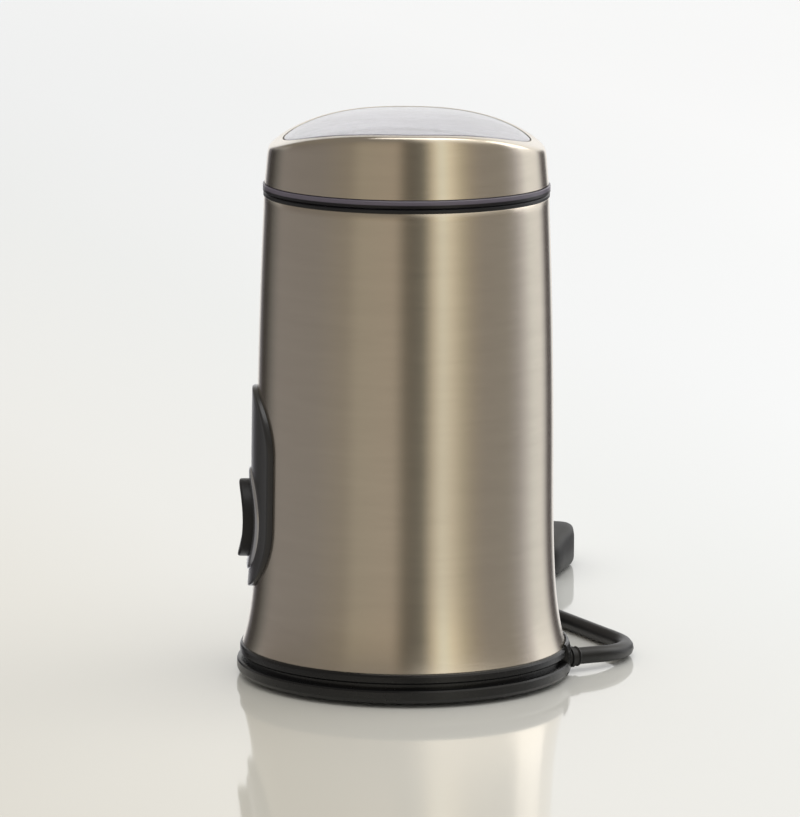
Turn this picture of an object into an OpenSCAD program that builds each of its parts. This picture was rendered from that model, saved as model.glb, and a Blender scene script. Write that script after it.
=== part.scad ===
// Electric spice grinder: a tall round blade grinder with a brushed steel shell, a lift-off lid with a
// clear saddle-shaped window, a push button low on its front and a cord that leaves low at its back.
// Millimetres. Origin: centre of the footprint, on the table. +Z is up and the button faces -Y.

/* [Base] */
// Radius of the lower flange, the widest part of the base: all that lies round the axis follows it
flange_r = 50; // [49.5:0.1:53]
// How far the flange stands outside the shell's foot
flange_overhang = 1.65; // [1.4:0.05:2]
// Height of the lower flange
flange_h = 4.2; // [3.8:0.1:5]
// How far the rubber feet stand below the flange
feet_proud = 1.2; // [0.8:0.1:3]
// Height of the dark groove above the flange
groove_h = 1.5; // [1:0.1:2.5]
// Depth of that groove, from the flange's edge
groove_depth = 2.6; // [1.5:0.1:4]
// How far the upper ring lies inside the flange's edge
ring_inset = 0.9; // [0.2:0.1:1.4]
// Height of the upper ring
ring_h = 2.9; // [2:0.1:5]
// Thickness of the base plate's floor
floor_t = 2.6; // [2.2:0.1:3.2]
// Radius of a foot's pad
foot_r = 5; // [4:0.25:5.5]
// Distance of the feet's middles from the flange's edge
foot_inset = 11; // [10:0.5:14]

/* [Shell] */
// Height of the steel shell
shell_h = 134.4; // [131:0.5:160]
// How much wider the shell is at its foot
flare = 4.2; // [3.4:0.1:4.6]
// Height over which most of the flare fades
flare_h = 13.3; // [10:0.1:15]
// How much narrower the shell is at its top
draw = 2; // [1.4:0.1:2.2]
// Height above the shell's foot where it starts to narrow
draw_from = 50.2; // [40:0.1:70]
// Thickness of the sheet
shell_t = 0.7; // [0.5:0.05:0.9]

/* [Lid] */
// Height of the collar's lip between the shell and the lid
lip_h = 1.2; // [0.8:0.1:3]
// Height of the clear flange at the foot of the lid
lid_flange_h = 2.3; // [2:0.1:4]
// How far that flange stands outside the shell's top
lid_flange_proud = 0.35; // [0.1:0.05:0.8]
// Height of the steel cover, from its foot to the crest of the saddle
cover_h = 18.3; // [17:0.1:26]
// How far the saddle drops from its crest to its sides, at the window's edge
saddle_drop = 5.35; // [3:0.05:6]
// How flat the saddle is along its crest: 2 is a parabola, and more is flatter
saddle_power = 2.8; // [2:0.1:3.4]
// How far the cover's foot lies inside the shell's top
cover_inset = 0.15; // [0.05:0.05:0.4]
// Draft of the cover's wall, in mm of radius for each mm of height
cover_draft = 0.09; // [0.04:0.01:0.1]
// Thickness of the cover
cover_t = 0.7; // [0.5:0.05:0.8]
// Width of the cover's shoulder, between its foot and the window's edge
shoulder_w = 5.3; // [5:0.1:8]
// Height of the wall's rounding below the shoulder's edge
shoulder_h = 4; // [3.8:0.1:6]
// How tight the shoulder's edge is: 1 is a parabola, and more is tighter
shoulder_weight = 3; // [1:0.1:4]
// How far the window's middle stands above the crest of its edge
window_bulge = 1; // [0.5:0.1:3]
// Thickness of the liner's wall
liner_t = 1.8; // [1.4:0.1:2]
// How deep the lid's spigot reaches into the collar
spigot_h = 1.9; // [1.2:0.1:2]

/* [Bowl and blade] */
// Room between the bowl's bore and the shell's waist, for the frame and the interlock's rod
bowl_room = 10.15; // [9.95:0.1:12.15]
// Depth of the bowl, from its rim to its floor
bowl_depth = 37.2; // [32:0.2:38]
// Thickness of the bowl's sheet
bowl_t = 0.6; // [0.4:0.05:0.8]
// Radius of the bowl's lower corner
bowl_corner_r = 8; // [5:0.5:10]
// Depth of the bowl's rim below the top of the collar
bowl_sink = 2.2; // [2.1:0.1:3.5]
// Length of the blade, tip to tip
blade_l = 54; // [44:1:60]
// Width of the blade
blade_w = 12; // [9:0.5:14]
// Thickness of the blade
blade_t = 1.5; // [1:0.1:2]
// Rise of the blade's bent tips, in degrees
blade_bend = 20; // [8:1:25]

/* [Motor] */
// Room between the stator's ends and the shell's waist, along X
stator_end_room = 15.15; // [14.65:0.1:16]
// Room between the stator's sides and the shell's waist, along Y
stator_side_room = 23.15; // [22.85:0.1:23.6]
// Thickness of the stator beside the rotor, air gap and all
yoke_t = 6.2; // [6:0.1:7]
// Air gap between rotor and stator
air_gap = 0.5; // [0.3:0.05:0.6]
// Radius of the motor's shaft
shaft_r = 2.5; // [2.2:0.1:2.8]
// Radius of the commutator, as a share of the rotor's
commutator_share = 0.575; // [0.5:0.005:0.6]
// How far the cooling fan stands outside the rotor
fan_overhang = 2.7; // [0:0.1:4]
// Number of the fan's blades
fan_blades = 9; // [7:1:12]

/* [Switch] */
// Height of the button's centre above the table
button_z = 47.1; // [46:0.1:50]
// Radius of the button
button_r = 11.6; // [10.5:0.1:12]
// How far the button's hollowed face stands outside the shell's waist, at its middle
button_proud = 3.95; // [3.65:0.05:4.15]
// How far the button is pressed in
button_travel = 2.5; // [1.5:0.1:2.6]
// Outer radius of the polished ring around the button
bezel_r = 15.6; // [15:0.1:16]
// How far the ring stands proud of the panel
bezel_proud = 0.7; // [0.4:0.1:1]
// Half width of the oval panel
panel_half_w = 21.2; // [19:0.1:22]
// Thickness of the panel
panel_t = 1.6; // [1.2:0.1:2.2]
// Height of the panel's rounded lower end
panel_drop = 20; // [18:0.1:20.4]
// Height of the panel's straight sides
panel_side_h = 21.9; // [14:0.1:24]
// Height of the panel's rounded upper end
panel_tip_h = 18.5; // [16:0.1:24]

/* [Fits] */
// Radial clearance of a shaft or a pin that runs in its bore
run_fit = 0.05; // [0.03:0.01:0.08]
// Gap between pieces that rest on each other
seat_gap = 0.1; // [0.05:0.01:0.15]
// Gap between the lid and the collar that it stands on
lid_gap = 0.2; // [0.1:0.05:0.3]
// Loose clearance around pieces that slide past each other
slide_gap = 0.25; // [0.2:0.01:0.3]

/* [Cord] */
// Diameter of the cord
cord_d = 5.2; // [4.8:0.1:5.4]
// Free gap between neighbouring turns of the coil
turn_gap = 0.6; // [0.5:0.05:0.9]

/* [Hidden] */
$fn = 96;

// A small overlap, so that cuts pass right through
eps = 0.01;

// Heights of the stack, from the table up
flange_top = feet_proud + flange_h;
ring_z = flange_top + groove_h;
ring_r = flange_r - ring_inset;
groove_r = flange_r - groove_depth;
shell_z = ring_z + ring_h;
shell_top = shell_z + shell_h;
lip_top = shell_top + lip_h;
lid_z = lip_top + lid_gap;
cover_z = lid_z + lid_flange_h + seat_gap;
crest_z = cover_z + cover_h;
floor_top = feet_proud + floor_t;

// The shell at its slimmest straight part, and the pieces that keep their room from it
waist_r = flange_r - flange_overhang - flare;
bowl_r = waist_r - bowl_room;
stator_w = 2 * (waist_r - stator_end_room);
stator_d = 2 * (waist_r - stator_side_room);
rotor_r = stator_d / 2 - yoke_t;
commutator_r = rotor_r * commutator_share;
fan_r = rotor_r + fan_overhang;
foot_circle_r = flange_r - foot_inset;

// The shell's outer radius at a height: a flare that fades upwards and a top that draws in
function shell_r(z) =
    waist_r + flare * exp(-(z - shell_z) / flare_h)
    - draw * pow(max(0, (z - shell_z - draw_from) / (shell_h - draw_from)), 2);
shell_top_r = shell_r(shell_top);
cover_r = shell_top_r - cover_inset;
window_r = cover_r - shoulder_w;
shell_steps = 30;
// Heights up the shell, close together at the flared foot
shell_heights = [for (i = [0:shell_steps]) shell_z + shell_h * pow(i / shell_steps, 1.7)];

// The inner frame: a lower tube, the motor deck, the cup around the bowl, and a top flange
frame_t = 1.8;
frame_r = shell_r(shell_top - shell_h / 3) - shell_t - 0.7;
frame_z = flange_top + 0.2;
deck_t = 3;
cup_t = 1.7;
cup_ring_h = 3;
cup_gap = 0.7;
cup_r = bowl_r + bowl_t + cup_gap;
collar_h = 11.4;
collar_r = shell_top_r - shell_t - 0.35;
collar_bore_r = cup_r + cup_t + 0.2;
frame_top = lip_top - collar_h;
frame_top_t = 2;

// The bowl stands in the collar and on a gasket on the frame
bowl_rim_z = lip_top - bowl_sink;
bowl_floor = bowl_rim_z - bowl_depth;
bowl_rim_w = 2.9;
bowl_hub_r = 5.9;
deck_gap = 8.4;
deck_z = bowl_floor - bowl_t - deck_gap - deck_t;
deck_top = deck_z + deck_t;
gasket_t = 1.8;
gasket_r = 11;

// The motor hangs under the deck; its stack of laminations fills the height between the legs
mount_t = 3;
mount_r = 5;
bar_t = 3;
bar_room = 20.2;
leg_upper_h = 18;
leg_lower_h = 19;
leg_t = 4.5;
bar_w = 16;
motor_screw_x = stator_w / 2 - 3.5;
motor_screw_r = 1.6;
upper_bar_z = deck_z - mount_t - bar_t;
stack_top = upper_bar_z - leg_upper_h;
lower_bar_z = floor_top + bar_room;
stack_z = lower_bar_z + bar_t + leg_lower_h;
stack_h = stack_top - stack_z;
bearing_r = 5.5;
hub_r = 7.6;
bearing_h = 6;
bearing_hub_h = bearing_h + 3;
upper_hub_z = upper_bar_z - 5;
lower_hub_z = lower_bar_z + bar_t - bearing_hub_h;
stator_bore_r = rotor_r + air_gap;
pole_half = rotor_r - 3.9;
window_depth = 5.6;
coil_end = 5.5;
commutator_z = lower_bar_z + bar_t + 2;
commutator_h = 10;
brush_plate_t = 3;
brush_plate_w = 15;
brush_z = commutator_z + commutator_h / 2;
brush_w = 6.2;
brush_h = 4.2;
brush_l = 7;
holder_wall = 0.8;
holder_end = stator_w / 2 - leg_t - 1.7;
fan_h = 5;
fan_z = upper_hub_z - fan_h - 0.9;
shaft_z = lower_hub_z - 0.5;
washer_t = 0.8;

// The blade stands on a hub just above the bowl's floor
seal_top = bowl_floor + 1.5;
hub_z = seal_top + 0.8;
hub_h = 3.2;
blade_z = hub_z + hub_h + seat_gap;
nut_z = blade_z + blade_t + seat_gap;
nut_h = 4;
shaft_top = nut_z + nut_h - 0.7;

// The button's own run, from its face inwards along +Y
button_gap = 0.15;
guide_bore_r = button_r + button_gap;
guide_wall = 1.35;
guide_r = guide_bore_r + guide_wall;
guide_back = -(waist_r - 8.95);
guide_back_t = 2;
guide_front = -(shell_r(button_z) - 1.3);
button_face = waist_r + button_proud;
cap_back = -(waist_r + 0.35);
skirt_back = -(waist_r - 3.65);
stem_r = 3;
switch_gap = 1.5;
post_z = [button_z - 17.2, button_z + 17.2];
post_r = 3.5;
guide_plate_x = 16;
guide_plate_z = 14;
plunger_r = 1.2;
switch_front = guide_back + guide_back_t + switch_gap;
stem_end = switch_front - button_travel - 0.3;
stem_guide_l = 3;
plunger_depth = 2.2;
switch_d = 10;
switch_w = 6.5;
switch_h = 19.6;
cradle_t = 2;
tab_y = switch_front + switch_d;
tab_l = 3;
tab_t = 0.8;
tab_z = [button_z - 2.6, button_z - 6.6];
panel_side_z = button_z - 0.5;
bezel_bore_r = button_r + 0.5;
dish_r = 40;

// The interlock rod runs down outside the bowl's cup to a switch under the deck
rod_r = 1.2;
rod_x = -(collar_bore_r + collar_r) / 2;
rod_rise = 2.5;
rod_hole_r = rod_r + slide_gap;
peg_l = 2.2;
rod_top = lid_z - peg_l - 0.1;
foot_z = deck_z - 6;
foot_t = 2;
foot_x = rod_x + 2.6;
rod_collar_z = deck_top + 10;
latch_switch_top = foot_z - 1;
latch_switch_h = 8;
latch_switch_w = 6.5;
latch_switch_l = 13;
shelf_t = 3;

// The cord's channel under the base turns away from the button by this angle
outlet_turn = 30;
outlet_pivot = flange_r - 4;
outlet_half_w = 9.5;
outlet_top = shell_z + 1;
outlet_inner_r = frame_r + slide_gap + 0.3;
outlet_seat_r = frame_r + 2.6;
channel_half = 5;
channel_wall = 2;
channel_top = 9.2;
channel_roof_t = 1.4;
channel_end = -24;
relief_axis_z = 4.5;
relief_tip = 7;
relief_rib = -20;
relief_rib_t = 2;
relief_root_r = 3.9;
relief_tip_r = 3.05;
relief_neck_r = 3;
relief_flange_r = 4.1;
mouth_half = 4.3;
wire_z = 5.6;
wire_hole_r = 2.6;
// A point of the channel's own frame, in the part's frame
function channel_point(x, y, z) = [
    x * cos(outlet_turn) - y * sin(outlet_turn), outlet_pivot + x * sin(outlet_turn) + y * cos(outlet_turn), z
];

// The cord's free route, from the outlet: round numbers, from the relief's tip to the coil
cord_r = cord_d / 2;
LEAD_ROUTE = [
    [-3.53, 6.1, 4.5], [-6, 10.3, 4.4], [-8.2, 13.4, 4.2], [-11, 16.2, 3.9], [-14.2, 18.4, 3.6],
    [-17.8, 20, 3.3], [-21.5, 21, 3], [-25.5, 21.3, 2.8], [-30, 20.8, 2.7], [-35, 19, 2.7],
    [-43, 14.9, 2.7], [-52, 10.3, 2.7], [-61, 5.7, 2.8], [-69, 1.6, 3], [-75, -1, 3.2],
    [-80.5, -2.8, 3.4], [-84.5, -3.2, 3.4], [-88.7, -3.2, 3.4]
];
// The coil: two layers of two turns each, wound inwards and out again
coil_x = -94;
coil_y = outlet_pivot - 38;
coil_turns = 4;
coil_steps = 24;
coil_sides = 6;
coil_outer_r = 34.8;
coil_z = 3.4;
turn_pitch = cord_d + turn_gap;
coil_end_l = cord_d;
tie_t = 0.5;
tie_w = 6;
tie_angle = 235;
// The plug lies behind the coil, in line with its last turn
tail_z = coil_z + turn_pitch;
plug_z = 6.85;
plug_y = coil_y + coil_outer_r;
plug_start = -118;
TAIL_ROUTE = [
    [-99.3, -3.2, 9.2], [-102.5, -3.2, 9.2], [-106, -3.2, 8.7], [-111, -3.2, 7.3],
    [-114.5, -3.2, 6.85], [-117.9, -3.2, 6.85]
];
plug_relief_l = 20;
plug_l = 35;
plug_w = 26.2;
plug_waist = 17;
plug_t = 13.7;
plug_nose_l = 12;
pin_r = 2;
pin_l = 19;
pin_spacing = 18.6;

// ---------------------------------------------------------------- helpers

function unit(v) = v / norm(v);
function direction(path, i) = unit(path[min(i + 1, len(path) - 1)] - path[max(i - 1, 0)]);
// A ring of points square to the way t, round the point c
function ring_at(c, t, r, sides) =
    let (s = unit(cross([0, 0, 1], t)), u = cross(t, s))
    [for (k = [0:sides - 1]) c + r * (cos(360 * k / sides) * s + sin(360 * k / sides) * u)];
function flat(lists) = [for (l = lists) each l];
// Two triangles for each quad between neighbouring rings of n points
function band(k, n, first = 0) = [
    for (i = [0:n - 1])
        let (a = first + k * n + i, b = first + k * n + (i + 1) % n)
        each [[a, b, b + n], [a, b + n, a + n]]
];
function reversed(list) = [for (i = [len(list) - 1:-1:0]) list[i]];

// A closed tube that follows a path
module tube_along(path, r, sides) {
    count = len(path);
    rings = [for (i = [0:count - 1]) ring_at(path[i], direction(path, i), r, sides)];
    sides_faces = flat([for (k = [0:count - 2]) [for (f = band(k, sides)) reversed(f)]]);
    near_end = [[for (i = [0:sides - 1]) i]];
    far_end = [[for (i = [sides - 1:-1:0]) (count - 1) * sides + i]];
    polyhedron(flat(rings), concat(near_end, sides_faces, far_end));
}

// A helical spring round +Z, with its end turns lying flat
function spring_path(r, h, turns, wire, steps) = [
    for (i = [0:turns * steps])
        let (t = i / steps, rise = (t - 0.8) / (turns - 1.6))
        [r * cos(360 * t), r * sin(360 * t), wire / 2 + (h - wire) * max(0, min(1, rise))]
];

// Turns a shape drawn along +Z so that it runs along +Y, at the button's height
module along_button(y) {
    translate([0, y, button_z]) rotate([-90, 0, 0]) children();
}

// Places a shape in the cord channel's own frame: +Y runs out of the base
module at_channel() {
    translate([0, outlet_pivot, 0]) rotate([0, 0, outlet_turn]) children();
}

module at_motor_screws() {
    for (side = [-1, 1]) translate([side * motor_screw_x, 0, 0]) children();
}

module box_centred(size, z) {
    translate([-size[0] / 2, -size[1] / 2, z]) cube(size);
}

// A pan-head screw that points up, with a cross recess in its head
module screw(shank_r, shank_l, head_r, head_h) {
    difference() {
        union() {
            translate([0, 0, -head_h]) cylinder(r = head_r, h = head_h, $fn = 32);
            cylinder(r = shank_r, h = shank_l, $fn = 32);
        }
        for (turn = [0, 90])
            rotate([0, 0, turn])
                translate([-head_r * 0.6, -0.4, -head_h - eps])
                    cube([head_r * 1.2, 0.8, head_h / 2]);
    }
}

// ---------------------------------------------------------------- shell, frame and bowl

// The region between two offsets of the shell's outer surface, over a range of heights
module shell_layer(from, to, low, high) {
    zs = concat([low], [for (z = shell_heights) if (z > low && z < high) z], [high]);
    outer = [for (z = zs) [shell_r(z) + to, z]];
    inner = [for (z = reversed(zs)) [shell_r(z) + from, z]];
    rotate_extrude() polygon(concat(outer, inner));
}

peg_x = 7;
peg_r = 1.5;
peg_z = panel_side_z + panel_side_h + 3.5;

module body_shell() {
    color("#a8a196")
        difference() {
            shell_layer(-shell_t, 0, shell_z, shell_top);
            along_button(-flange_r) cylinder(r = guide_r + slide_gap, h = flange_r + guide_back);
            for (side = [-1, 1])
                translate([side * peg_x, -flange_r, peg_z])
                    rotate([-90, 0, 0]) cylinder(r = peg_r + slide_gap, h = flange_r + guide_back, $fn = 32);
        }
}

screw_boss_r = 4;
base_screw_l = 12;
base_head_r = 2.9;
base_head_h = 2;
base_pocket_h = 3.2;
base_screw_circle_r = frame_r - 6.8;
base_screw_angles = [0, 180, 270];
base_boss_top = feet_proud + 5.2;
base_boss_h = 13.6;
base_shank_r = 1.45;

module at_base_screws() {
    for (a = base_screw_angles) rotate([0, 0, a]) translate([base_screw_circle_r, 0, 0]) children();
}

collar_screw_angles = [30, 150, 270];
collar_screw_r = 1.1;
collar_screw_l = 7.5;
collar_head_r = 1.9;
collar_head_h = 1.4;
collar_screw_circle_r = (collar_bore_r + collar_r) / 2;

module at_collar_screws() {
    for (a = collar_screw_angles) rotate([0, 0, a]) translate([collar_screw_circle_r, 0, 0]) children();
}

module frame_tubes() {
    difference() {
        translate([0, 0, frame_z]) cylinder(r = frame_r, h = deck_top - frame_z);
        translate([0, 0, frame_z - eps]) cylinder(r = frame_r - frame_t, h = deck_z - frame_z + eps);
    }
    // The ring that centres the bowl's cup, which is bonded to it
    translate([0, 0, deck_top - eps])
        difference() {
            cylinder(r = cup_r - seat_gap, h = cup_ring_h + eps);
            translate([0, 0, -eps]) cylinder(r = cup_r - seat_gap - cup_t, h = cup_ring_h + 1);
        }
}

module frame_posts() {
    seat_h = bowl_floor - bowl_t - gasket_t - deck_top;
    translate([0, 0, deck_top - eps])
        difference() {
            cylinder(r = gasket_r, h = seat_h + eps);
            translate([0, 0, -eps]) cylinder(r = gasket_r - 2.5, h = seat_h + 1);
        }
    at_base_screws() {
        translate([0, 0, base_boss_top]) cylinder(r = screw_boss_r, h = base_boss_h);
        translate([0, -1.5, base_boss_top]) cube([frame_r - base_screw_circle_r - 0.6, 3, base_boss_h]);
    }
    for (z = post_z)
        translate([0, -frame_r + frame_t / 2, z])
            rotate([-90, 0, 0]) cylinder(r = post_r, h = guide_back + frame_r - frame_t / 2, $fn = 48);
    intersection() {
        translate([-frame_r, -latch_switch_l / 2 - 1, latch_switch_top - latch_switch_h - shelf_t])
            cube([frame_r + foot_x + 4.4, latch_switch_l + 2, shelf_t]);
        translate([0, 0, frame_z]) cylinder(r = frame_r - 0.5, h = deck_z);
    }
}

module inner_frame() {
    color("#2b2b2d")
        difference() {
            union() {
                frame_tubes();
                frame_posts();
            }
            translate([0, 0, deck_z - eps]) cylinder(r = gasket_r - 2.5, h = deck_t + 1);
            at_motor_screws()
                translate([0, 0, deck_z - eps]) cylinder(r = motor_screw_r + slide_gap, h = deck_t + 1);
            translate([rod_x, 0, deck_z - eps]) cylinder(r = rod_hole_r, h = deck_t + 1, $fn = 32);
            along_button(-flange_r) cylinder(r = guide_r + slide_gap, h = flange_r + guide_back - 2);
            at_base_screws()
                translate([0, 0, base_boss_top - eps])
                    cylinder(r = base_shank_r + run_fit, h = base_boss_h - 2, $fn = 32);
            for (z = post_z)
                translate([0, -frame_r + 1.2, z])
                    rotate([-90, 0, 0]) cylinder(r = base_shank_r - 0.3 + run_fit, h = frame_r, $fn = 32);
            at_channel()
                translate([-channel_half - channel_wall - 1, -30, 0])
                    cube([2 * (channel_half + channel_wall + 1), 40, channel_top + channel_roof_t + 0.6]);
        }
}

// The sleeve round the bowl, with the flange that the collar is screwed to
module bowl_cup() {
    foot_z = deck_top + seat_gap;
    color("#2b2b2d")
        difference() {
            union() {
                translate([0, 0, foot_z]) cylinder(r = cup_r + cup_t, h = frame_top - foot_z);
                translate([0, 0, frame_top - frame_top_t]) cylinder(r = collar_r, h = frame_top_t);
            }
            translate([0, 0, deck_top]) cylinder(r = cup_r, h = frame_top - deck_top + 1);
            translate([rod_x, 0, frame_top - frame_top_t - eps]) cylinder(r = rod_hole_r, h = 5, $fn = 32);
            at_collar_screws()
                translate([0, 0, frame_top - frame_top_t - eps])
                    cylinder(r = collar_screw_r + slide_gap, h = 5, $fn = 32);
        }
}

module top_collar() {
    ledge_r = cup_r - 0.1;
    rim_r = bowl_r + bowl_rim_w + slide_gap;
    ledge_z = bowl_rim_z - bowl_t - seat_gap;
    lip_r = shell_top_r + 0.2;
    color("#1d1d1f")
        difference() {
            rotate_extrude()
                polygon([
                    [collar_bore_r, frame_top], [collar_r, frame_top], [collar_r, shell_top],
                    [lip_r - 0.2, shell_top], [lip_r, shell_top + 0.2], [lip_r, lip_top - 0.3],
                    [lip_r - 0.3, lip_top], [rim_r, lip_top], [rim_r, ledge_z],
                    [ledge_r, ledge_z], [ledge_r, ledge_z - 1.8], [collar_bore_r, ledge_z - 3.6]
                ]);
            translate([rod_x, 0, frame_top - eps]) cylinder(r = rod_hole_r, h = collar_h + 1, $fn = 32);
            at_collar_screws()
                translate([0, 0, frame_top - eps])
                    cylinder(r = collar_screw_r + run_fit, h = collar_screw_l - frame_top_t + 1.5, $fn = 32);
        }
}

module collar_screws() {
    color("#9a9a9a")
        at_collar_screws()
            translate([0, 0, frame_top - frame_top_t])
                screw(collar_screw_r, collar_screw_l, collar_head_r, collar_head_h);
}

// Points of a quarter round, from one angle to another
function arc_points(c, r, from, to, steps) = [
    for (i = [0:steps])
        let (a = from + (to - from) * i / steps)
        [c[0] + r * cos(a), c[1] + r * sin(a)]
];

module grinding_bowl() {
    rim_r = bowl_r + bowl_rim_w;
    corner = [bowl_r - bowl_corner_r, bowl_floor + bowl_corner_r];
    inside = concat(
        [[rim_r, bowl_rim_z], [bowl_r + 0.8, bowl_rim_z], [bowl_r, bowl_rim_z - 0.8]],
        arc_points(corner, bowl_corner_r, 0, -90, 8),
        [
            [bowl_hub_r + bowl_t, bowl_floor], [bowl_hub_r + bowl_t, bowl_floor + 1],
            [bowl_hub_r, bowl_floor + 1]
        ]
    );
    outside = concat(
        [[bowl_hub_r, bowl_floor - bowl_t]],
        arc_points(corner, bowl_corner_r + bowl_t, -90, 0, 8),
        [
            [bowl_r + bowl_t, bowl_rim_z - 1.2], [bowl_r + 1.2, bowl_rim_z - bowl_t],
            [rim_r, bowl_rim_z - bowl_t]
        ]
    );
    color("#b9b9b6") rotate_extrude() polygon(concat(inside, outside));
}

module bowl_gasket() {
    color("#8a8d8a")
        translate([0, 0, bowl_floor - bowl_t - gasket_t + seat_gap / 2])
            difference() {
                cylinder(r = gasket_r, h = gasket_t - seat_gap);
                translate([0, 0, -eps]) cylinder(r = gasket_r - 2.5, h = gasket_t + 1);
            }
}

module shaft_seal() {
    top_r = bowl_hub_r - seat_gap;
    color("#3a3a3a")
        translate([0, 0, bowl_floor - bowl_t - 3])
            rotate_extrude()
                polygon([
                    [shaft_r + run_fit, 1], [shaft_r + 1, 0], [top_r + 1, 0], [top_r + 1, 2.9], [top_r, 2.9],
                    [top_r, 4.6], [shaft_r + 1.6, 5.1], [shaft_r + run_fit, 5.1]
                ]);
}

// ---------------------------------------------------------------- motor

module stator_outline() {
    corner = 6;
    for (sx = [-1, 1], sy = [-1, 1])
        translate([sx * (stator_w / 2 - corner), sy * (stator_d / 2 - corner)]) circle(r = corner);
    square([stator_w - 2 * corner, stator_d], center = true);
    square([stator_w, stator_d - 2 * corner], center = true);
}

coil_x0 = rotor_r - 2.8;
coil_x1 = motor_screw_x - 3.9;

module stator_core() {
    color("#6f6a64")
        translate([0, 0, stack_z])
            difference() {
                linear_extrude(stack_h)
                    difference() {
                        stator_outline();
                        circle(r = stator_bore_r);
                        for (sx = [-1, 1], sy = [-1, 1])
                            translate([sx * (coil_x0 + coil_x1 - 4) / 2, sy * (pole_half + window_depth / 2)])
                                square([coil_x1 - coil_x0 + 4, window_depth], center = true);
                    }
                at_motor_screws()
                    translate([0, 0, -eps]) cylinder(r = motor_screw_r + slide_gap, h = stack_h + 1, $fn = 32);
            }
}

module field_coils() {
    gap = 0.3;
    wall = window_depth - 2 * gap;
    x0 = stator_bore_r + 0.5;
    color("#9c4a1c")
        for (side = [-1, 1])
            translate([side * (x0 + coil_x1) / 2, 0, stack_z - coil_end])
                difference() {
                    box_centred([coil_x1 - x0 - gap, 2 * (pole_half + gap + wall), stack_h + 2 * coil_end], 0);
                    box_centred(
                        [coil_x1 - x0 + 1, 2 * (pole_half + gap), stack_h + 2 * gap],
                        coil_end - gap
                    );
                }
}

// A bearing bridge: a bar across the stack with a leg at each end and a hub in its middle
module bridge(bar_z, leg_z, leg_h, bush_z) {
    low = min(bar_z, leg_z) - 1;
    high = max(bar_z + bar_t, leg_z + leg_h) + 1;
    color("#b0b3b5")
        difference() {
            union() {
                box_centred([stator_w - 2, bar_w, bar_t], bar_z);
                for (side = [-1, 1])
                    translate([side * (stator_w / 2 - 1 - leg_t / 2), 0, 0])
                        box_centred([leg_t, bar_w, leg_h + eps], leg_z);
                translate([0, 0, bush_z]) cylinder(r = hub_r, h = bearing_hub_h);
            }
            translate([0, 0, bush_z + 1.5]) cylinder(r = bearing_r + run_fit, h = bearing_h);
            translate([0, 0, bush_z - eps]) cylinder(r = shaft_r + 1, h = bearing_hub_h + 1);
            at_motor_screws()
                translate([0, 0, low]) cylinder(r = motor_screw_r + run_fit, h = high - low, $fn = 32);
        }
}

module upper_bracket() {
    bridge(upper_bar_z, stack_top, leg_upper_h, upper_hub_z);
}

module lower_bracket() {
    bridge(lower_bar_z, lower_bar_z + bar_t - eps, leg_lower_h - seat_gap, lower_hub_z);
}

module bush(z) {
    color("#a5793a")
        translate([0, 0, z + 1.5])
            difference() {
                cylinder(r = bearing_r, h = bearing_h);
                translate([0, 0, -eps]) cylinder(r = shaft_r + run_fit, h = bearing_h + 1);
            }
}

module upper_bearing() {
    bush(upper_hub_z);
}

module lower_bearing() {
    bush(lower_hub_z);
}

nut_m4_h = 3.2;
nut_m4_r = 3.9;
screw_head_r = 3.2;
screw_head_h = 2.4;

module motor_screws() {
    length = deck_top - lower_bar_z + nut_m4_h + 1;
    color("#8d8f92")
        at_motor_screws()
            translate([0, 0, lower_bar_z]) screw(motor_screw_r, length, screw_head_r, screw_head_h);
}

module motor_nuts() {
    color("#8d8f92")
        at_motor_screws()
            translate([0, 0, deck_top])
                difference() {
                    cylinder(r = nut_m4_r, h = nut_m4_h, $fn = 6);
                    translate([0, 0, -eps]) cylinder(r = motor_screw_r + run_fit, h = nut_m4_h + 1, $fn = 32);
                }
}

module motor_mounts() {
    color("#2a2a2a")
        at_motor_screws()
            translate([0, 0, deck_z - mount_t])
                difference() {
                    cylinder(r = mount_r, h = mount_t);
                    translate([0, 0, -eps]) cylinder(r = motor_screw_r + slide_gap, h = mount_t + 1, $fn = 32);
                }
}

module brush_plate() {
    color("#7a4b2a")
        translate([0, 0, lower_bar_z + bar_t])
            difference() {
                box_centred([2 * holder_end, brush_plate_w, brush_plate_t], 0);
                translate([0, 0, -eps]) cylinder(r = commutator_r + 1.2, h = brush_plate_t + 1);
            }
}

brush_inner_x = commutator_r + 0.08;
holder_start = commutator_r + 1.6;

module at_brushes() {
    for (side = [0, 180]) rotate([0, 0, side]) translate([0, 0, brush_z]) children();
}

module brush_holders() {
    outer_w = brush_w + 2 * (holder_wall + run_fit);
    outer_h = brush_h + 2 * (holder_wall + run_fit);
    foot_h = brush_z - outer_h / 2 - (lower_bar_z + bar_t + brush_plate_t);
    color("#c9a24a")
        at_brushes() {
            difference() {
                translate([holder_start, -outer_w / 2, -outer_h / 2])
                    cube([holder_end - holder_start, outer_w, outer_h]);
                translate([holder_start - 1, -brush_w / 2 - run_fit, -brush_h / 2 - run_fit])
                    cube([holder_end - holder_start, brush_w + 2 * run_fit, brush_h + 2 * run_fit]);
            }
            translate([holder_start + 1, -outer_w / 2, -outer_h / 2 - foot_h])
                cube([holder_end - holder_start - 1, outer_w, foot_h + eps]);
        }
}

module carbon_brushes() {
    color("#2e2e30")
        at_brushes() translate([brush_inner_x, -brush_w / 2, -brush_h / 2]) cube([brush_l, brush_w, brush_h]);
}

module brush_springs() {
    wire = 0.5;
    start = brush_inner_x + brush_l;
    color("#c0c0c0")
        at_brushes()
            translate([start + seat_gap, 0, 0])
                rotate([0, 90, 0])
                    tube_along(
                        spring_path(1.6, holder_end - 1 - start - 2 * seat_gap, 6, wire, 10), wire / 2, 5
                    );
}

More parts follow.
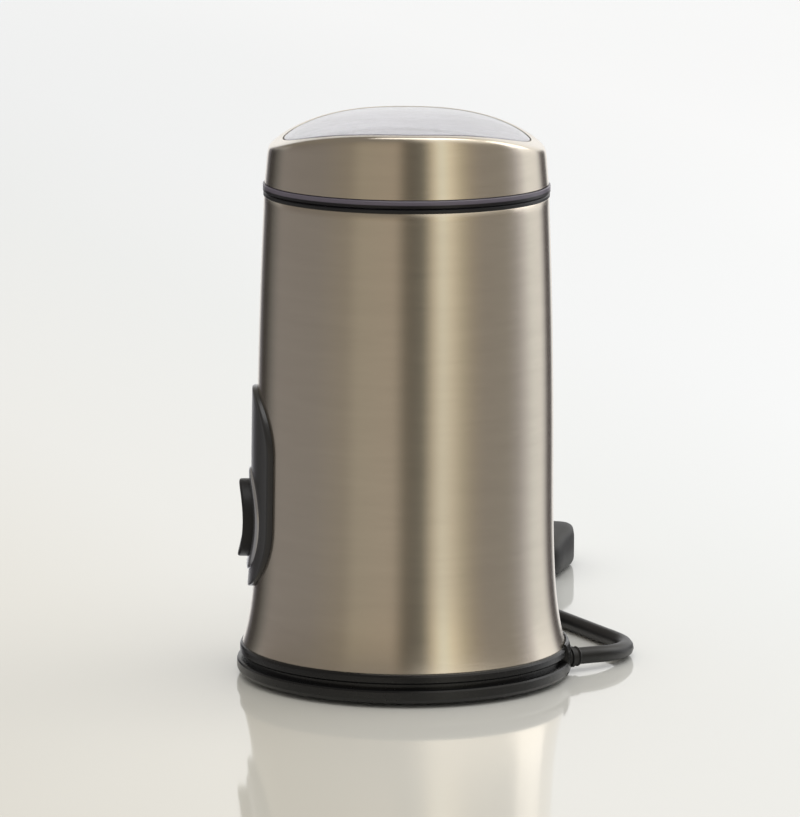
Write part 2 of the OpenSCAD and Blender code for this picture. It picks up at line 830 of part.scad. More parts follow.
module motor_shaft() {
    color("#c4c6c8")
        translate([0, 0, shaft_z])
            rotate_extrude()
                polygon([
                    [0, 0], [shaft_r - 0.4, 0], [shaft_r, 0.4], [shaft_r, shaft_top - shaft_z - 0.4],
                    [shaft_r - 0.4, shaft_top - shaft_z], [0, shaft_top - shaft_z]
                ]);
}

slots = 12;
slot_circle_r = rotor_r - 4.6;
slot_r = slot_circle_r * sin(180 / slots) - 0.34;
shaft_fit = 0.02;

module armature_core() {
    color("#77726c")
        translate([0, 0, stack_z])
            linear_extrude(stack_h)
                difference() {
                    circle(r = rotor_r);
                    circle(r = shaft_r + shaft_fit);
                    for (i = [0:slots - 1])
                        rotate([0, 0, 360 * i / slots]) {
                            translate([slot_circle_r, 0]) circle(r = slot_r, $fn = 24);
                            translate([slot_circle_r, -0.7]) square([6, 1.4]);
                        }
                }
}

module armature_winding() {
    gap = 0.25;
    low = commutator_z + commutator_h + 1;
    high = fan_z - 1;
    inner = shaft_r + 2.5;
    outer = rotor_r - 1.5;
    color("#a4521f") {
        for (z = [[low, stack_z - 0.2], [stack_top + 0.2, min(high, stack_top + 5.5)]])
            rotate_extrude()
                polygon([
                    [inner, z[0] + 1], [inner + 1, z[0]], [outer - 1, z[0]], [outer, z[0] + 1],
                    [outer, z[1] - 1], [outer - 1, z[1]], [inner + 1, z[1]], [inner, z[1] - 1]
                ]);
        for (i = [0:slots - 1])
            rotate([0, 0, 360 * i / slots])
                translate([slot_circle_r, 0, stack_z - 1])
                    cylinder(r = slot_r - gap, h = stack_h + 2, $fn = 24);
    }
}

module commutator() {
    color("#b8733a")
        translate([0, 0, commutator_z])
            difference() {
                union() {
                    cylinder(r = commutator_r, h = commutator_h);
                    translate([0, 0, commutator_h - 1.6]) cylinder(r = commutator_r + 0.9, h = 1.6);
                }
                translate([0, 0, -eps]) cylinder(r = shaft_r + shaft_fit, h = commutator_h + 1);
                for (i = [0:slots - 1])
                    rotate([0, 0, 360 * (i + 0.5) / slots])
                        translate([commutator_r - 0.9, -0.25, -eps])
                            cube([3, 0.5, commutator_h + 1]);
            }
}

module cooling_fan() {
    hub = 6;
    color("#d8d4c8")
        translate([0, 0, fan_z])
            difference() {
                union() {
                    cylinder(r = hub, h = fan_h);
                    translate([0, 0, fan_h - 1.2]) cylinder(r = fan_r, h = 1.2);
                    for (i = [0:fan_blades - 1])
                        rotate([0, 0, 360 * i / fan_blades])
                            translate([hub - 1, 0, 0])
                                rotate([0, 0, 18]) cube([fan_r - hub - 0.6, 1.2, fan_h - 0.6]);
                }
                translate([0, 0, -eps]) cylinder(r = shaft_r + shaft_fit, h = fan_h + 1);
            }
}

module thrust_washers() {
    color("#d9d9d9")
        for (z = [lower_bar_z + bar_t + 1.1, upper_hub_z - washer_t - 0.05])
            translate([0, 0, z])
                difference() {
                    cylinder(r = shaft_r + 2, h = washer_t);
                    translate([0, 0, -eps]) cylinder(r = shaft_r + shaft_fit, h = washer_t + 1);
                }
}

// ---------------------------------------------------------------- blade

module blade_hub() {
    color("#2b2b2d")
        translate([0, 0, hub_z])
            difference() {
                cylinder(r1 = 7, r2 = 5.6, h = hub_h);
                translate([0, 0, -eps]) cylinder(r = shaft_r + shaft_fit, h = hub_h + 1);
            }
}

// One wing in side view: flat at the hub, then bent up towards its tip
function wing_line(side, bend) =
    let (flat_x = blade_l * 0.24, tip = blade_l / 2)
    [[side * flat_x, 0], [side * tip, (tip - flat_x) * tan(bend)]];

module blade() {
    lower = concat(reversed(wing_line(-1, blade_bend)), wing_line(1, blade_bend * 0.6));
    upper = [for (p = reversed(lower)) [p[0], p[1] + blade_t]];
    color("#cfcfcd")
        translate([0, 0, blade_z])
            difference() {
                intersection() {
                    translate([0, blade_w / 2, 0])
                        rotate([90, 0, 0]) linear_extrude(blade_w) polygon(concat(lower, upper));
                    translate([0, 0, -1])
                        linear_extrude(30)
                            polygon([
                                [-blade_l / 2, -blade_w / 2 + 4], [-blade_l / 2 + 5, -blade_w / 2],
                                [blade_l / 2 - 5, -blade_w / 2], [blade_l / 2, blade_w / 2 - 4],
                                [blade_l / 2 - 2, blade_w / 2], [-blade_l / 2 + 2, blade_w / 2]
                            ]);
                }
                translate([0, 0, -1]) cylinder(r = shaft_r + shaft_fit, h = 10);
            }
}

module blade_nut() {
    bore_h = nut_h - 0.6;
    color("#bcbcba")
        translate([0, 0, nut_z])
            difference() {
                union() {
                    cylinder(r = 4.6, h = nut_h - 1, $fn = 6);
                    cylinder(r1 = 3.9, r2 = 3.2, h = nut_h);
                }
                translate([0, 0, -eps]) cylinder(r = shaft_r + shaft_fit, h = bore_h + eps);
            }
}

// ---------------------------------------------------------------- switch and button

// The panel's outline in front view: two half ellipses joined by straight sides
panel_outline = concat(
    [for (a = [180:9:360]) [panel_half_w * cos(a), panel_side_z + panel_drop * sin(a)]],
    [for (a = [0:9:180]) [panel_half_w * cos(a), panel_side_z + panel_side_h + panel_tip_h * sin(a)]]
);

module switch_panel() {
    low = panel_side_z - panel_drop - 1;
    high = panel_side_z + panel_side_h + panel_tip_h + 1;
    color("#202022") {
        difference() {
            intersection() {
                shell_layer(seat_gap / 2, panel_t, low, high);
                translate([0, -20, 0]) rotate([90, 0, 0]) linear_extrude(flange_r) polygon(panel_outline);
            }
            along_button(-flange_r) cylinder(r = bezel_r + slide_gap + 0.05, h = 20);
        }
        for (side = [-1, 1])
            intersection() {
                translate([side * peg_x, -shell_r(peg_z) - 1, peg_z])
                    rotate([-90, 0, 0]) cylinder(r = peg_r, h = 4, $fn = 32);
                translate([0, 0, peg_z - 5])
                    difference() {
                        cylinder(r = shell_r(peg_z) + panel_t / 2, h = 10);
                        translate([0, 0, -eps]) cylinder(r = frame_r + 0.2, h = 11);
                    }
            }
    }
}

module button_bezel() {
    low = button_z - bezel_r - 1;
    high = button_z + bezel_r + 1;
    color("#d5d6d8")
        difference() {
            union() {
                // The ring that shows
                intersection() {
                    shell_layer(seat_gap / 2, panel_t + bezel_proud, low, high);
                    along_button(-flange_r) cylinder(r = bezel_r, h = 20);
                }
                // The collar that lines the hole in the shell
                intersection() {
                    shell_layer(-20, panel_t / 2, low, high);
                    along_button(-flange_r)
                        cylinder(r = bezel_bore_r + 0.9, h = flange_r + guide_front - seat_gap);
                }
            }
            along_button(-flange_r - 1) cylinder(r = bezel_bore_r, h = flange_r);
            // Room for the tube that the button slides in
            along_button(guide_front - seat_gap) cylinder(r = guide_r + slide_gap, h = 20);
        }
}

module button_guide() {
    ear_w = 12;
    color("#3a3a3c")
        difference() {
            union() {
                along_button(guide_front) cylinder(r = guide_r, h = guide_back - guide_front + eps);
                translate([-guide_plate_x, guide_back, button_z - guide_plate_z])
                    cube([2 * guide_plate_x, guide_back_t, 2 * guide_plate_z]);
                for (z = post_z)
                    translate([-ear_w / 2, guide_back, z - ear_w / 3])
                        cube([ear_w, guide_back_t, ear_w * 2 / 3]);
                // A cradle above and below the switch
                for (side = [-1, 1]) {
                    z = button_z + side * (switch_h / 2 + seat_gap + cradle_t / 2);
                    translate([-5, guide_back + guide_back_t - eps, z - cradle_t / 2])
                        cube([10, switch_gap + switch_d - 2, cradle_t]);
                }
            }
            difference() {
                along_button(guide_front - 1) cylinder(r = guide_bore_r, h = guide_back - guide_front + 1);
                along_button(guide_back - stem_guide_l)
                    cylinder(r = stem_r + 1.2, h = stem_guide_l + 1, $fn = 48);
            }
            along_button(guide_back - stem_guide_l - 1)
                cylinder(r = stem_r + run_fit, h = stem_guide_l + guide_back_t + 2, $fn = 48);
            for (z = post_z)
                translate([0, guide_back - 1, z])
                    rotate([-90, 0, 0]) cylinder(r = base_shank_r, h = 5, $fn = 32);
        }
}

module guide_screws() {
    color("#9a9a9a")
        for (z = post_z)
            translate([0, guide_back + guide_back_t, z])
                rotate([90, 0, 0]) screw(base_shank_r - 0.3, 5.6, 2.6, 1.6);
}

module main_switch() {
    color("#40444a") {
        difference() {
            translate([-switch_w / 2, switch_front, button_z - switch_h / 2])
                cube([switch_w, switch_d, switch_h]);
            along_button(switch_front - 1)
                cylinder(r = plunger_r + run_fit, h = plunger_depth + button_travel + 1.5, $fn = 32);
        }
    }
    color("#c9a24a")
        for (z = tab_z)
            translate([-1.6, tab_y, z - tab_t / 2]) cube([3.2, tab_l, tab_t]);
}

module button() {
    cap_front = -(button_face + 1.7);
    tilt = 0.75;
    color("#262628")
        difference() {
            union() {
                along_button(cap_front) cylinder(r = button_r, h = skirt_back - cap_front);
                along_button(cap_back - 1) cylinder(r = stem_r, h = stem_end - cap_back + 1, $fn = 48);
            }
            // The face, hollowed from top to bottom
            translate([0, -button_face - dish_r, button_z + tilt])
                rotate([0, 90, 0]) cylinder(r = dish_r, h = 2 * button_r + 2, center = true);
            // The hollow behind the cap, round the stem
            along_button(cap_back)
                difference() {
                    cylinder(r = button_r - 1.3, h = 10);
                    translate([0, 0, -eps]) cylinder(r = stem_r, h = 12, $fn = 48);
                }
        }
}

module switch_plunger() {
    color("#c23b2e")
        along_button(stem_end + seat_gap / 2)
            cylinder(r = plunger_r, h = switch_front + plunger_depth - stem_end - seat_gap / 2, $fn = 32);
}

module button_spring() {
    wire = 0.8;
    color("#c0c0c0")
        along_button(cap_back + seat_gap)
            tube_along(spring_path(5.2, guide_back - cap_back - 2 * seat_gap, 5, wire, 14), wire / 2, 6);
}

// ---------------------------------------------------------------- interlock

module interlock_pin() {
    peg_depth = 4;
    color("#e4e1d6") {
        translate([rod_x, 0, foot_z]) cylinder(r = rod_r, h = rod_top - foot_z, $fn = 32);
        translate([rod_x, 0, rod_collar_z]) cylinder(r = rod_r + 0.6, h = 1.2, $fn = 32);
        translate([rod_x - rod_r, -rod_r, foot_z]) cube([foot_x - rod_x + 2.6, 2 * rod_r, foot_t]);
        translate([foot_x, 0, foot_z - peg_depth]) cylinder(r = plunger_r, h = peg_depth + eps, $fn = 32);
    }
}

module interlock_spring() {
    wire = 0.4;
    h = rod_collar_z - deck_top - 2 * seat_gap;
    color("#c0c0c0")
        translate([rod_x, 0, deck_top + seat_gap])
            tube_along(spring_path(rod_r + 0.35, h, 9, wire, 10), wire / 2, 5);
}

module interlock_switch() {
    x0 = foot_x - 1.9;
    color("#40444a")
        difference() {
            translate([x0, -latch_switch_l / 2, latch_switch_top - latch_switch_h + seat_gap])
                cube([latch_switch_w, latch_switch_l, latch_switch_h - seat_gap]);
            translate([foot_x, 0, latch_switch_top - 5]) cylinder(r = plunger_r + run_fit, h = 6, $fn = 32);
        }
}

// ---------------------------------------------------------------- electrical pieces in the base

capacitor_size = [18, 9, 13];
capacitor_x = -stator_w * 0.24;
capacitor_y = stator_d * 0.285;

module suppressor_capacitor() {
    color("#c8a23a")
        translate([capacitor_x, capacitor_y, 0]) {
            box_centred(capacitor_size, floor_top + 1);
            for (side = [-1, 1]) translate([side * 5, 0, floor_top]) cylinder(r = 0.5, h = 1.5, $fn = 16);
        }
}

fuse_r = 2;
fuse_l = 12;

module thermal_fuse() {
    color("#d8d8d8")
        translate([coil_x1 - fuse_r - 0.3, -fuse_l / 2, stack_top + coil_end + fuse_r + seat_gap])
            rotate([-90, 0, 0]) cylinder(r = fuse_r, h = fuse_l, $fn = 32);
}

lead_r = 0.9;
// Three insulated wires, each a few hand-chosen points, as shares of the stator's half width and half depth
wire_start = channel_end - 0.3;
wire_out = channel_end - channel_wall - 1;
holder_side = brush_w / 2 + holder_wall + run_fit;
w = stator_w / 2;
d = stator_d / 2;
past_capacitor = capacitor_y + capacitor_size[1] / 2 + 2.4;
LEAD_A = [
    channel_point(1.1, wire_start, wire_z), channel_point(1.1, wire_out, wire_z), [0.53 * w, 0.81 * d, 8.5],
    [0.5 * w, 0.19 * d, 12.5], [0.41 * w, -0.48 * d, 17], [0.21 * w, -0.76 * d, 26], [0.03 * w, -0.88 * d, 34],
    [0, tab_y + tab_l / 2, tab_z[1] - tab_t / 2 - 0.4]
];
LEAD_B = [
    channel_point(-1.1, wire_start, wire_z), channel_point(-1.1, wire_out, wire_z), [0.34 * w, 0.88 * d, 8.5],
    [0.07 * w, 0.86 * d, 13], [-0.21 * w, past_capacitor, 17.5], [-0.41 * w, past_capacitor + 0.6, 20.5],
    [-0.62 * w, 0.71 * d, 26], [-0.59 * w, bar_w / 2 + 1, brush_z - 2], [-0.55 * w, holder_side + 0.4, brush_z]
];
LEAD_C = [
    [2.1, tab_y + tab_l / 2, tab_z[0]], [0.28 * w, -0.9 * d, 40], [0.55 * w, -0.71 * d, 35],
    [0.62 * w, -0.48 * d, brush_z], [0.59 * w, -holder_side - 0.4, brush_z]
];

module internal_leads() {
    color("#2f4f8f")
        for (route = [LEAD_A, LEAD_B, LEAD_C]) tube_along(route, lead_r, 8);
}

// ---------------------------------------------------------------- base

module base_ring() {
    bore_r = frame_r + slide_gap + 0.05;
    spigot_r = shell_r(shell_z + 3.2) - shell_t - 0.4;
    color("#161617")
        difference() {
            rotate_extrude()
                polygon([
                    [bore_r, flange_top], [groove_r, flange_top], [groove_r, ring_z],
                    [ring_r - 0.4, ring_z], [ring_r, ring_z + 0.5], [ring_r, shell_z - 0.8],
                    [ring_r - 0.3, shell_z - 0.2], [ring_r - 0.7, shell_z], [spigot_r, shell_z],
                    [spigot_r, shell_z + 2.4], [spigot_r - 0.8, shell_z + 3.2], [bore_r, shell_z + 3.2]
                ]);
            translate([-outlet_half_w - seat_gap, 30, flange_top - eps])
                cube([2 * (outlet_half_w + seat_gap), 30, ring_z + ring_h - flange_top + eps]);
        }
}

foot_angles = [50, 130, 230, 310];
foot_pocket = 1.4;
foot_stem_r = 2;

module at_feet() {
    for (a = foot_angles) rotate([0, 0, a]) translate([foot_circle_r, 0, 0]) children();
}

vent_w = 2.4;
vent_l = 22;
vent_pitch = 6;

module channel_solid() {
    half = channel_half + channel_wall;
    intersection() {
        at_channel()
            translate([-half, channel_end - channel_wall, floor_top - eps])
                cube([2 * half, -channel_end + channel_wall + 6, channel_top + channel_roof_t - floor_top]);
        cylinder(r = frame_r, h = 30);
    }
}

module base_plate() {
    color("#1a1a1b")
        difference() {
            union() {
                rotate_extrude()
                    polygon([
                        [0, feet_proud], [flange_r - 1.4, feet_proud], [flange_r - 0.5, feet_proud + 0.35],
                        [flange_r, feet_proud + 1.3], [flange_r, flange_top - 0.7],
                        [flange_r - 0.25, flange_top - 0.2], [flange_r - 0.8, flange_top],
                        [frame_r + 1.6, flange_top], [frame_r + 1.6, floor_top],
                        [0, floor_top]
                    ]);
                at_base_screws()
                    translate([0, 0, floor_top - eps])
                        cylinder(r = screw_boss_r + 0.6, h = base_boss_top - floor_top + eps);
                channel_solid();
            }
            at_base_screws() {
                translate([0, 0, feet_proud - eps]) cylinder(r = base_head_r + 0.5, h = base_pocket_h + eps);
                translate([0, 0, feet_proud]) cylinder(r = base_shank_r + slide_gap, h = 10, $fn = 32);
            }
            at_feet() {
                translate([0, 0, feet_proud - eps]) cylinder(r = foot_r + 0.2, h = foot_pocket);
                translate([0, 0, feet_proud]) cylinder(r = foot_stem_r + run_fit, h = 10, $fn = 32);
            }
            // Vent slots under the motor
            for (i = [-2:2])
                translate([-vent_l / 2 - 6, -8 + i * vent_pitch - vent_w / 2, 0])
                    cube([vent_l, vent_w, floor_top + 1]);
            // The cord's channel, with a rib that holds the strain relief by its neck
            at_channel() {
                difference() {
                    translate([-channel_half, channel_end, 0]) cube([2 * channel_half, 40, channel_top]);
                    difference() {
                        translate([-channel_half - 1, relief_rib, -1])
                            cube([2 * channel_half + 2, relief_rib_t, channel_top + 2]);
                        translate([-relief_neck_r - run_fit, relief_rib - 1, -2])
                            cube([2 * (relief_neck_r + run_fit), 4, relief_axis_z + 2]);
                        translate([0, relief_rib - 1, relief_axis_z])
                            rotate([-90, 0, 0]) cylinder(r = relief_neck_r + run_fit, h = 4, $fn = 48);
                    }
                }
                // The wires' way into the housing
                translate([0, channel_end - channel_wall - 1, wire_z])
                    rotate([-90, 0, 0]) cylinder(r = wire_hole_r, h = 4, $fn = 32);
            }
            // A notch for the outlet piece
            difference() {
                translate([-outlet_half_w - seat_gap, 20, 0]) cube([2 * (outlet_half_w + seat_gap), 40, 20]);
                cylinder(r = outlet_seat_r - seat_gap, h = floor_top);
                cylinder(r = frame_r + eps, h = 30);
            }
        }
}

module base_screws() {
    color("#8d8f92")
        at_base_screws()
            translate([0, 0, feet_proud + base_pocket_h])
                screw(base_shank_r, base_screw_l, base_head_r, base_head_h);
}

module rubber_feet() {
    color("#232323")
        at_feet()
            rotate_extrude()
                polygon([
                    [0, 0], [foot_r - 0.8, 0], [foot_r, 0.8], [foot_r, feet_proud + foot_pocket - seat_gap],
                    [foot_stem_r, feet_proud + foot_pocket - seat_gap], [foot_stem_r, floor_top + seat_gap],
                    [foot_stem_r + 1, floor_top + seat_gap + 0.3], [foot_stem_r - 0.4, floor_top + 1.6],
                    [0, floor_top + 1.6]
                ]);
}

module cord_outlet() {
    lip_r = shell_r(shell_z) + slide_gap;
    color("#161617")
        difference() {
            intersection() {
                rotate_extrude()
                    polygon([
                        [outlet_inner_r, floor_top + seat_gap], [outlet_seat_r, floor_top + seat_gap],
                        [outlet_seat_r, feet_proud],
                        [flange_r - 0.6, feet_proud], [flange_r, feet_proud + 0.8],
                        [flange_r, outlet_top - 2.6], [flange_r - 0.6, outlet_top - 0.6],
                        [flange_r - 1, outlet_top], [lip_r, outlet_top],
                        [lip_r, shell_z - seat_gap], [outlet_inner_r, shell_z - seat_gap]
                    ]);
                translate([-outlet_half_w, 20, 0]) cube([2 * outlet_half_w, 40, 20]);
            }
            at_channel() {
                translate([-mouth_half, -20, -1]) cube([2 * mouth_half, 40, relief_axis_z + 1]);
                translate([0, -20, relief_axis_z]) rotate([-90, 0, 0]) cylinder(r = mouth_half - 0.2, h = 40);
                translate([-mouth_half, -20, relief_axis_z - 0.5]) cube([2 * mouth_half, 40, 0.6]);
            }
        }
}

module strain_relief() {
    neck_end = relief_rib + relief_rib_t + run_fit;
    color("#1b1b1c")
        at_channel()
            translate([0, 0, relief_axis_z])
                rotate([-90, 0, 0]) {
                    translate([0, 0, channel_end + seat_gap])
                        cylinder(r = relief_flange_r, h = relief_rib - channel_end - seat_gap - run_fit);
                    translate([0, 0, relief_rib - 1]) cylinder(r = relief_neck_r, h = relief_rib_t + 2);
                    translate([0, 0, neck_end])
                        cylinder(r1 = relief_root_r, r2 = relief_tip_r, h = relief_tip - neck_end);
                }
}

// ---------------------------------------------------------------- cord and plug

module cord_lead() {
    color("#171717") translate([0, outlet_pivot, 0]) tube_along(LEAD_ROUTE, cord_r, 8);
}

// The coil's radius and height after t turns: inwards for half of them, then out again one layer up
function coil_r(t) = coil_outer_r - turn_pitch * min(t, coil_turns - t);
function coil_rise(t) =
    let (u = max(0, min(1, (t - coil_turns / 2 + 0.25) * 2)))
    turn_pitch * u * u * (3 - 2 * u);
coil_path = concat(
    [[coil_x + coil_end_l, coil_y + coil_outer_r, coil_z]],
    [
        for (i = [0:coil_turns * coil_steps])
            let (t = i / coil_steps, a = 90 + 360 * t)
            [coil_x + coil_r(t) * cos(a), coil_y + coil_r(t) * sin(a), coil_z + coil_rise(t)]
    ],
    [[coil_x - coil_end_l, coil_y + coil_outer_r, coil_z + turn_pitch]]
);
// The least gap between turns: the least distance between points half a turn or more apart, less a cord
coil_gap = min([
    for (i = [0:2:len(coil_path) - 1])
        for (j = [i + coil_steps / 2:len(coil_path) - 1])
            norm(coil_path[i] - coil_path[j])
]) - cord_d;
echo(least_gap_between_turns = coil_gap);

module cord_coil() {
    color("#171717") tube_along(coil_path, cord_r, coil_sides);
}

module cord_tail() {
    color("#171717") translate([0, outlet_pivot, 0]) tube_along(TAIL_ROUTE, cord_r, 8);
}

// A strap round the coil's turns at one place
module cord_tie() {
    inner = coil_r(coil_turns / 2) - cord_r - 0.4;
    width = coil_outer_r - coil_r(coil_turns / 2) + cord_d + 0.8;
    height = coil_z + turn_pitch + cord_r + 0.2 - tie_t;
    color("#30302f")
        translate([coil_x, coil_y, 0])
            rotate([0, 0, tie_angle])
                translate([inner, -tie_w / 2, 0])
                    difference() {
                        translate([-tie_t, 0, 0]) cube([width + 2 * tie_t, tie_w, height + 2 * tie_t]);
                        translate([0, -1, tie_t]) cube([width, tie_w + 2, height]);
                    }
}

module plug_body() {
    back = plug_start - plug_relief_l;
    front = back - plug_l;
    color("#1c1c1d")
        difference() {
            union() {
                translate([back - 1, plug_y, plug_z])
                    rotate([0, 90, 0]) cylinder(r1 = 5, r2 = cord_r + 0.5, h = plug_relief_l + 1, $fn = 48);
                translate([0, plug_y, plug_z - plug_t / 2])
                    linear_extrude(plug_t)
                        polygon([
                            [back, -plug_waist / 2 + 3], [back, plug_waist / 2 - 3], [back - 3, plug_waist / 2],
                            [front + plug_nose_l, plug_w / 2], [front + 3, plug_w / 2], [front, plug_w / 2 - 3],
                            [front, -plug_w / 2 + 3], [front + 3, -plug_w / 2], [front + plug_nose_l, -plug_w / 2],
                            [back - 3, -plug_waist / 2]
                        ]);
            }
            for (side = [-1, 1])
                translate([front - 1, plug_y + side * pin_spacing / 2, plug_z])
                    rotate([0, 90, 0]) cylinder(r = pin_r, h = 9, $fn = 32);
        }
}

module plug_pins() {
    front = plug_start - plug_relief_l - plug_l;
    color("#c8b06a")
        for (side = [-1, 1])
            translate([front + 8 - seat_gap, plug_y + side * pin_spacing / 2, plug_z])
                rotate([0, -90, 0])
                    rotate_extrude()
                        polygon([
                            [0, 0], [pin_r - 0.01, 0], [pin_r - 0.01, pin_l + 7],
                            [pin_r - 0.8, pin_l + 8 - seat_gap], [0, pin_l + 8 - seat_gap]
                        ]);
}

// ---------------------------------------------------------------- lid

lid_sides = 72;
lid_angles = [for (i = [0:lid_sides - 1]) 360 * i / lid_sides];
shoulder_steps = 5;
liner_gap = 0.25;

// The saddle: a vault whose crest runs along X, and its slope away from the axis at the angle a
function saddle(y) = crest_z - saddle_drop * pow(abs(y) / window_r, saddle_power);
function rim_slope(a) = atan(saddle_power * saddle_drop / window_r * pow(abs(sin(a)), saddle_power));
function cover_wall(z) = cover_r - cover_draft * (z - cover_z);
// The control points of the shoulder's curve at the angle a, as [r, z], inset from its surface: where it leaves
// the wall, the edge where the wall would meet the saddle, and the window's edge
function shoulder(a, inset) =
    let (
        slope = rim_slope(a),
        edge_r = cover_wall(saddle(cover_r * sin(a))),
        edge_z = saddle(edge_r * sin(a)),
        foot_z = edge_z - shoulder_h
    )
    [
        [cover_wall(foot_z) - inset, foot_z],
        [edge_r - inset, edge_z - inset * (1 - sin(slope)) / cos(slope)],
        [window_r - inset * sin(slope), saddle(window_r * sin(a)) - inset * cos(slope)]
    ];
// A ring round the shoulder, inset from its surface, at the share s of the way from the wall to the rim
function shoulder_ring(s, inset) =
    let (
        shares = [(1 - s) * (1 - s), 2 * shoulder_weight * s * (1 - s), s * s],
        total = shares[0] + shares[1] + shares[2]
    )
    [
        for (a = lid_angles)
            let (place = shares * shoulder(a, inset) / total)
            [place[0] * cos(a), place[0] * sin(a), place[1]]
    ];
function level_ring(r, z) = [for (a = lid_angles) [r * cos(a), r * sin(a), z]];
// A ring of the window's own surface, let down by a depth
function window_z(r, a) = saddle(r * sin(a)) + window_bulge * (1 - pow(r / window_r, 2));
function window_ring(r, depth) = [for (a = lid_angles) [r * cos(a), r * sin(a), window_z(r, a) - depth]];

module lid_cover() {
    outer = [for (i = [0:shoulder_steps]) shoulder_ring(1 - i / shoulder_steps, 0)];
    inner = [for (i = [0:shoulder_steps]) shoulder_ring(i / shoulder_steps, cover_t)];
    rings = concat(
        outer,
        [level_ring(cover_r, cover_z), level_ring(cover_r - cover_t, cover_z)],
        inner
    );
    count = len(rings);
    last = [
        for (i = [0:lid_sides - 1])
            let (next = (i + 1) % lid_sides, top = (count - 1) * lid_sides)
            each [[top + i, top + next, next], [top + i, next, i]]
    ];
    color("#a8a196") polyhedron(flat(rings), concat(flat([for (k = [0:count - 2]) band(k, lid_sides)]), last));
}

// The clear moulding: window, wall under the cover, flange, and the spigot that enters the collar
module liner_body() {
    under = cover_t + liner_gap;
    edge_r = window_r - cover_t * sin(rim_slope(90)) - 0.2;
    window_t = under + liner_t;
    flange_r0 = shell_top_r + lid_flange_proud;
    wall_r = cover_r - under;
    spigot_r = bowl_r + bowl_rim_w - 0.15;
    bore_r = spigot_r - liner_t;
    flange_top_z = lid_z + lid_flange_h;
    rings = concat(
        [for (r = [0.25, 0.5, 0.75]) window_ring(edge_r * r, 0)],
        [window_ring(edge_r, 0), window_ring(edge_r, under)],
        [for (s = [0.8, 0.55, 0.3, 0]) shoulder_ring(s, under)],
        [
            level_ring(wall_r, flange_top_z),
            level_ring(flange_r0 - 0.3, flange_top_z), level_ring(flange_r0, flange_top_z - 0.3),
            level_ring(flange_r0, lid_z + 0.3), level_ring(flange_r0 - 0.3, lid_z),
            level_ring(spigot_r, lid_z), level_ring(spigot_r - 0.15, lid_z - spigot_h),
            level_ring(bore_r, lid_z - spigot_h), level_ring(bore_r, flange_top_z - 0.6),
            level_ring(wall_r - liner_t, flange_top_z + 1)
        ],
        [for (s = [0, 0.4, 0.8]) shoulder_ring(s, under + liner_t)],
        [for (r = [0.94, 0.75, 0.5, 0.25]) window_ring(edge_r * r, window_t)]
    );
    count = len(rings);
    top = [[0, 0, window_z(0, 0)]];
    under_top = [[0, 0, window_z(0, 0) - window_t]];
    first = 1;
    last = first + count * lid_sides;
    cap = [for (i = [0:lid_sides - 1]) [0, first + (i + 1) % lid_sides, first + i]];
    inner_cap = [
        for (i = [0:lid_sides - 1])
            [last - lid_sides + i, last - lid_sides + (i + 1) % lid_sides, last]
    ];
    bands = flat([for (k = [0:count - 2]) band(k, lid_sides, first)]);
    polyhedron(concat(top, flat(rings), under_top), concat(cap, bands, inner_cap));
}

module lid_liner() {
    color("#8f8c96", 0.5) {
        liner_body();
        translate([rod_x, 0, lid_z - peg_l]) cylinder(r = rod_r, h = peg_l + 0.5, $fn = 32);
    }
}

body_shell();
inner_frame();
bowl_cup();
top_collar();
collar_screws();
grinding_bowl();
bowl_gasket();
shaft_seal();
stator_core();
field_coils();
upper_bracket();
lower_bracket();
upper_bearing();
lower_bearing();
motor_screws();
motor_nuts();
motor_mounts();
brush_plate();
brush_holders();
carbon_brushes();
brush_springs();
switch_panel();
button_bezel();
button_guide();
guide_screws();
main_switch();
interlock_switch();
suppressor_capacitor();
thermal_fuse();
internal_leads();
base_ring();
base_plate();
base_screws();
rubber_feet();
cord_outlet();
strain_relief();
cord_lead();
cord_coil();
cord_tail();
cord_tie();
plug_body();
plug_pins();
lid_cover();
lid_liner();
button();
switch_plunger();
button_spring();
interlock_pin();
interlock_spring();
motor_shaft();
armature_core();
armature_winding();
commutator();
cooling_fan();
thrust_washers();
blade_hub();
blade();
blade_nut();
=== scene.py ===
# An electric spice grinder with a brushed steel shell, stood on a pale glossy table.
# The file follows the grinder from the table up: set, cord, base, shell, switch, bowl and blade, lid, motor.
import math

import bmesh
import bpy
from mathutils import Matrix, Vector


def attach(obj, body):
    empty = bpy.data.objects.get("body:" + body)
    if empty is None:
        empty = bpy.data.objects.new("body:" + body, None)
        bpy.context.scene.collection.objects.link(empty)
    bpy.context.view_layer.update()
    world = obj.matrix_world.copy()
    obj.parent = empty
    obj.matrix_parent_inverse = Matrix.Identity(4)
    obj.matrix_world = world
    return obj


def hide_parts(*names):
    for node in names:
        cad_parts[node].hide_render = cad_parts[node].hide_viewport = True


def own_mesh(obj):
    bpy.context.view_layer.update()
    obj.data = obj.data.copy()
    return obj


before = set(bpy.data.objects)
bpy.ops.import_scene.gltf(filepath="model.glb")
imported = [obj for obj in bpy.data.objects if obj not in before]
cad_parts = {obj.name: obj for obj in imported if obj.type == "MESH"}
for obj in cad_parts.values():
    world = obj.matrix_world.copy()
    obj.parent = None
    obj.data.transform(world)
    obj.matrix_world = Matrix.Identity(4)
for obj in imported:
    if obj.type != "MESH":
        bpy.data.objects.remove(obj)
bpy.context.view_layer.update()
scene = bpy.context.scene
MM = 0.001


# ---------------------------------------------------------------- the set
# A long lens looks down on the grinder at about ten degrees, from the side that has the button at its left.
# The table is a pale glossy sheet that runs up into a white backdrop, and mirrors the grinder softly.
def linear(code):
    """An sRGB hex code as a linear colour."""
    parts = [int(code[i:i + 2], 16) / 255 for i in (0, 2, 4)]
    return (*[c / 12.92 if c <= 0.04045 else ((c + 0.055) / 1.055) ** 2.4 for c in parts], 1)


